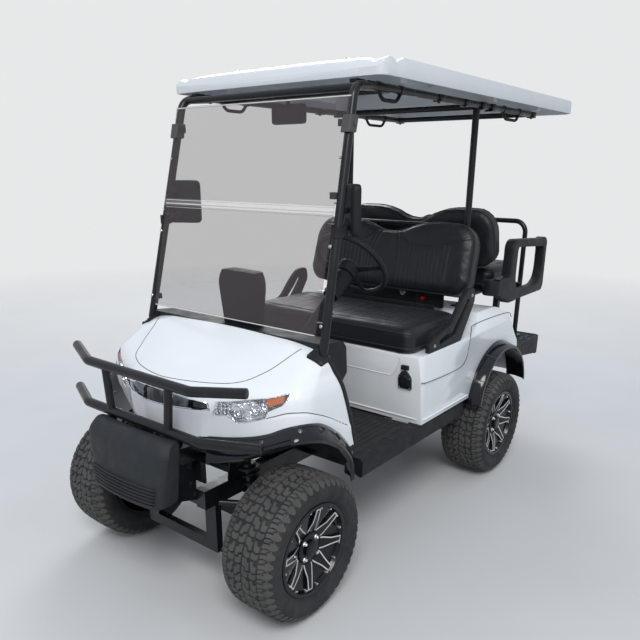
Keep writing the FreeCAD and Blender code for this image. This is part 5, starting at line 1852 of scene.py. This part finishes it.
def body_details():
    lens, bezel, dark, bright, red = Form(), Form(), Form(), Form(), Form()
    out = Vector((0, 191, 29)).normalized()
    for hand in (1, -1):
        face = at(470 * hand, 2014 - (640 - 516) * 29 / 191, 640)
        axes = RIGHT, Vector((0, -out.z, out.y))
        lathe(bezel, face, out, axes, ((41, 2), (47, 2.5), (47, 9), (44, 15), (39, 15.5), (38, 8)), 40,
              caps=False)
        lathe(lens, face, out, axes, ((39, 3), (39, 14), (34, 18.5), (22, 20.5), (6, 21)), 40)
    lens.make("tail_lamp_lens", "red_lens", replaces=("tail_lamps",), sharp=50)
    bezel.make("tail_lamp_bezel", "cast_black", sharp=50)
    edge = rounded_loop([(437, 690), (507, 690), (507, 748), (486, 776), (458, 776), (437, 748)],
                        [6, 6, 8, 8, 8, 8], 4)
    middle = (472, 732)
    dark.skin([[at(a, seat_box_face(z) - lift, b)
                for (a, b), (x, z) in zip(scaled(edge, middle, size), edge)]
               for size, lift in ((1, 0.5), (1, 9), (0.94, 12), (0.7, 12.5), (0.66, 15), (0.4, 16))])
    plate(dark, box_loop(456, 786, 494, 807, 4, 2), on_front, 820, 838)
    tube(dark, [at(475, 832, 790), at(475, 830, 778), at(475, 836, 766)], 3, 8)
    for x, z in ((444, 697), (500, 697), (444, 746), (500, 746)):
        bolt(bright, at(x, seat_box_face(z) - 10, z), -BACK, 4, 3)
    dark.make("charger_cover", "cast_black", replaces=("charger_socket",), sharp=50)
    bright.make("charger_screws", "bare_steel")
    tube(red, [at(232, 1404, 1010), at(232, 1390, 1010)], [13, 10], 20)
    red.make("seat_switch", "red_lens")

    side_fold_shade, face_fold, brace, ring = Form(), Form(), Form(), Form()
    # A dark grey tube along the side fold: painted shade under the fold over the recessed lower wall.
    fold = smooth_line(((842, 733), *RECESS_LINE[1:9], (1862, 872)), 6)
    tube(side_fold_shade, [at(cheek(z) - 0.4, y, z) for y, z in fold], 2.3, 6)
    side_fold_shade.mirror().make("body_fold_shade", "fold_grey")
    line = rounded_loop([(450, 838), (424, 776), (396, 740), (-396, 740), (-424, 776), (-450, 838)], 12, 4)
    tube(face_fold, [at(x, seat_box_face(z) + 1.5, z) for x, z in line], 4, 8)
    hem = rounded([at(559, 1340, 540), at(559, 863.5, 540), at(0, 863.5, 540)], 0.046)
    hem += [Vector((-v.x, v.y, v.z)) for v in reversed(hem[:-1])]
    tube(face_fold, hem, 5, 8)
    face_fold.make("body_beads", "body_white")
    outline = rounded_loop([(-352, 964), (352, 964), (352, 1062), (300, 1084), (-300, 1084), (-352, 1062)],
                           12, 4)
    plate(brace, outline, on_front, 1404, 1409, 1.5, 2)
    for x in (-210, 210):
        plate(brace, rounded_loop([(x - 26, 962), (x + 26, 962), (x + 20, 1076), (x - 20, 1076)], 5, 2),
              on_front,
              1396, 1405, 1.5, 2)
    brace.make("seat_back_brace", "cast_black")
    for radius in (15, 7):
        tube(ring, circle(at(100, 1402, 1026), (RIGHT, UP), radius, 28), 3, 8, loop=True)
    ring.make("seat_lock_ring", "bare_steel")


body_details()

# Stage

STAGE_HALF = 60


def add_stage():
    size = STAGE_HALF
    mesh = bpy.data.meshes.new("floor")
    mesh.from_pydata([(-size, -size, 0), (size, -size, 0), (size, size, 0), (-size, size, 0)], [],
                     [(0, 1, 2, 3)])
    floor = bpy.data.objects.new("floor", mesh)
    bpy.context.scene.collection.objects.link(floor)
    floor.location.z = -0.001
    paint = Paint("floor", (0.60, 0.605, 0.605), 0.8, Specular_IOR_Level=0.2)
    paint.tint(paint.noise(1.2, 5), (0.57, 0.575, 0.575), 0.35, 0.7)
    paint.bump(paint.noise(90, 5, 0.7), 0.15, 0.002)
    reach = paint.node("ShaderNodeVectorMath", operation="LENGTH")
    paint.link(paint.spot, reach.inputs[0])
    paint.link(paint.span(reach.outputs["Value"], 1.0, 0.0, 2.6, 9.0), paint.shader.inputs["Alpha"])
    mesh.materials.append(paint.material)


def add_world():
    world = bpy.data.worlds.new("studio")
    bpy.context.scene.world = world
    world.use_nodes = True
    tree = world.node_tree
    tree.nodes.clear()
    out = tree.nodes.new("ShaderNodeOutputWorld")
    seen, light, mix = (tree.nodes.new(kind) for kind in
                        ("ShaderNodeBackground", "ShaderNodeBackground", "ShaderNodeMixShader"))
    seen.inputs["Color"].default_value = (0.80, 0.81, 0.815, 1)
    coord, split, ramp = (tree.nodes.new(kind) for kind in
                          ("ShaderNodeTexCoord", "ShaderNodeSeparateXYZ", "ShaderNodeValToRGB"))
    tree.links.new(coord.outputs["Generated"], split.inputs[0])
    tree.links.new(split.outputs["Z"], ramp.inputs[0])
    stops = ramp.color_ramp.elements
    stops[0].position, stops[0].color = 0.0, (0.60, 0.61, 0.62, 1)
    stops[1].position, stops[1].color = 0.75, (0.74, 0.81, 0.92, 1)
    tree.links.new(ramp.outputs["Color"], light.inputs["Color"])
    light.inputs["Strength"].default_value = 0.9
    path = tree.nodes.new("ShaderNodeLightPath")
    tree.links.new(path.outputs["Is Camera Ray"], mix.inputs[0])
    tree.links.new(light.outputs[0], mix.inputs[1])
    tree.links.new(seen.outputs[0], mix.inputs[2])
    tree.links.new(mix.outputs[0], out.inputs[0])


def add_lamp(name, spot, target, size, energy, color=(1, 1, 1)):
    data = bpy.data.lights.new(name, "AREA")
    data.shape, data.size, data.energy, data.color = "DISK", size, energy, color
    lamp = bpy.data.objects.new(name, data)
    bpy.context.scene.collection.objects.link(lamp)
    lamp.location = spot
    lamp.rotation_euler = (Vector(target) - Vector(spot)).to_track_quat("-Z", "Y").to_euler()


add_stage()
add_world()
add_lamp("key", (3.5, -4.5, 6.0), (0, 0, 0.8), 3.0, 290, (1, 0.98, 0.95))
add_lamp("back", (-4.5, 4.5, 5.0), (0, 0, 0.8), 4.0, 200)
bpy.context.scene.view_settings.view_transform = "Standard"
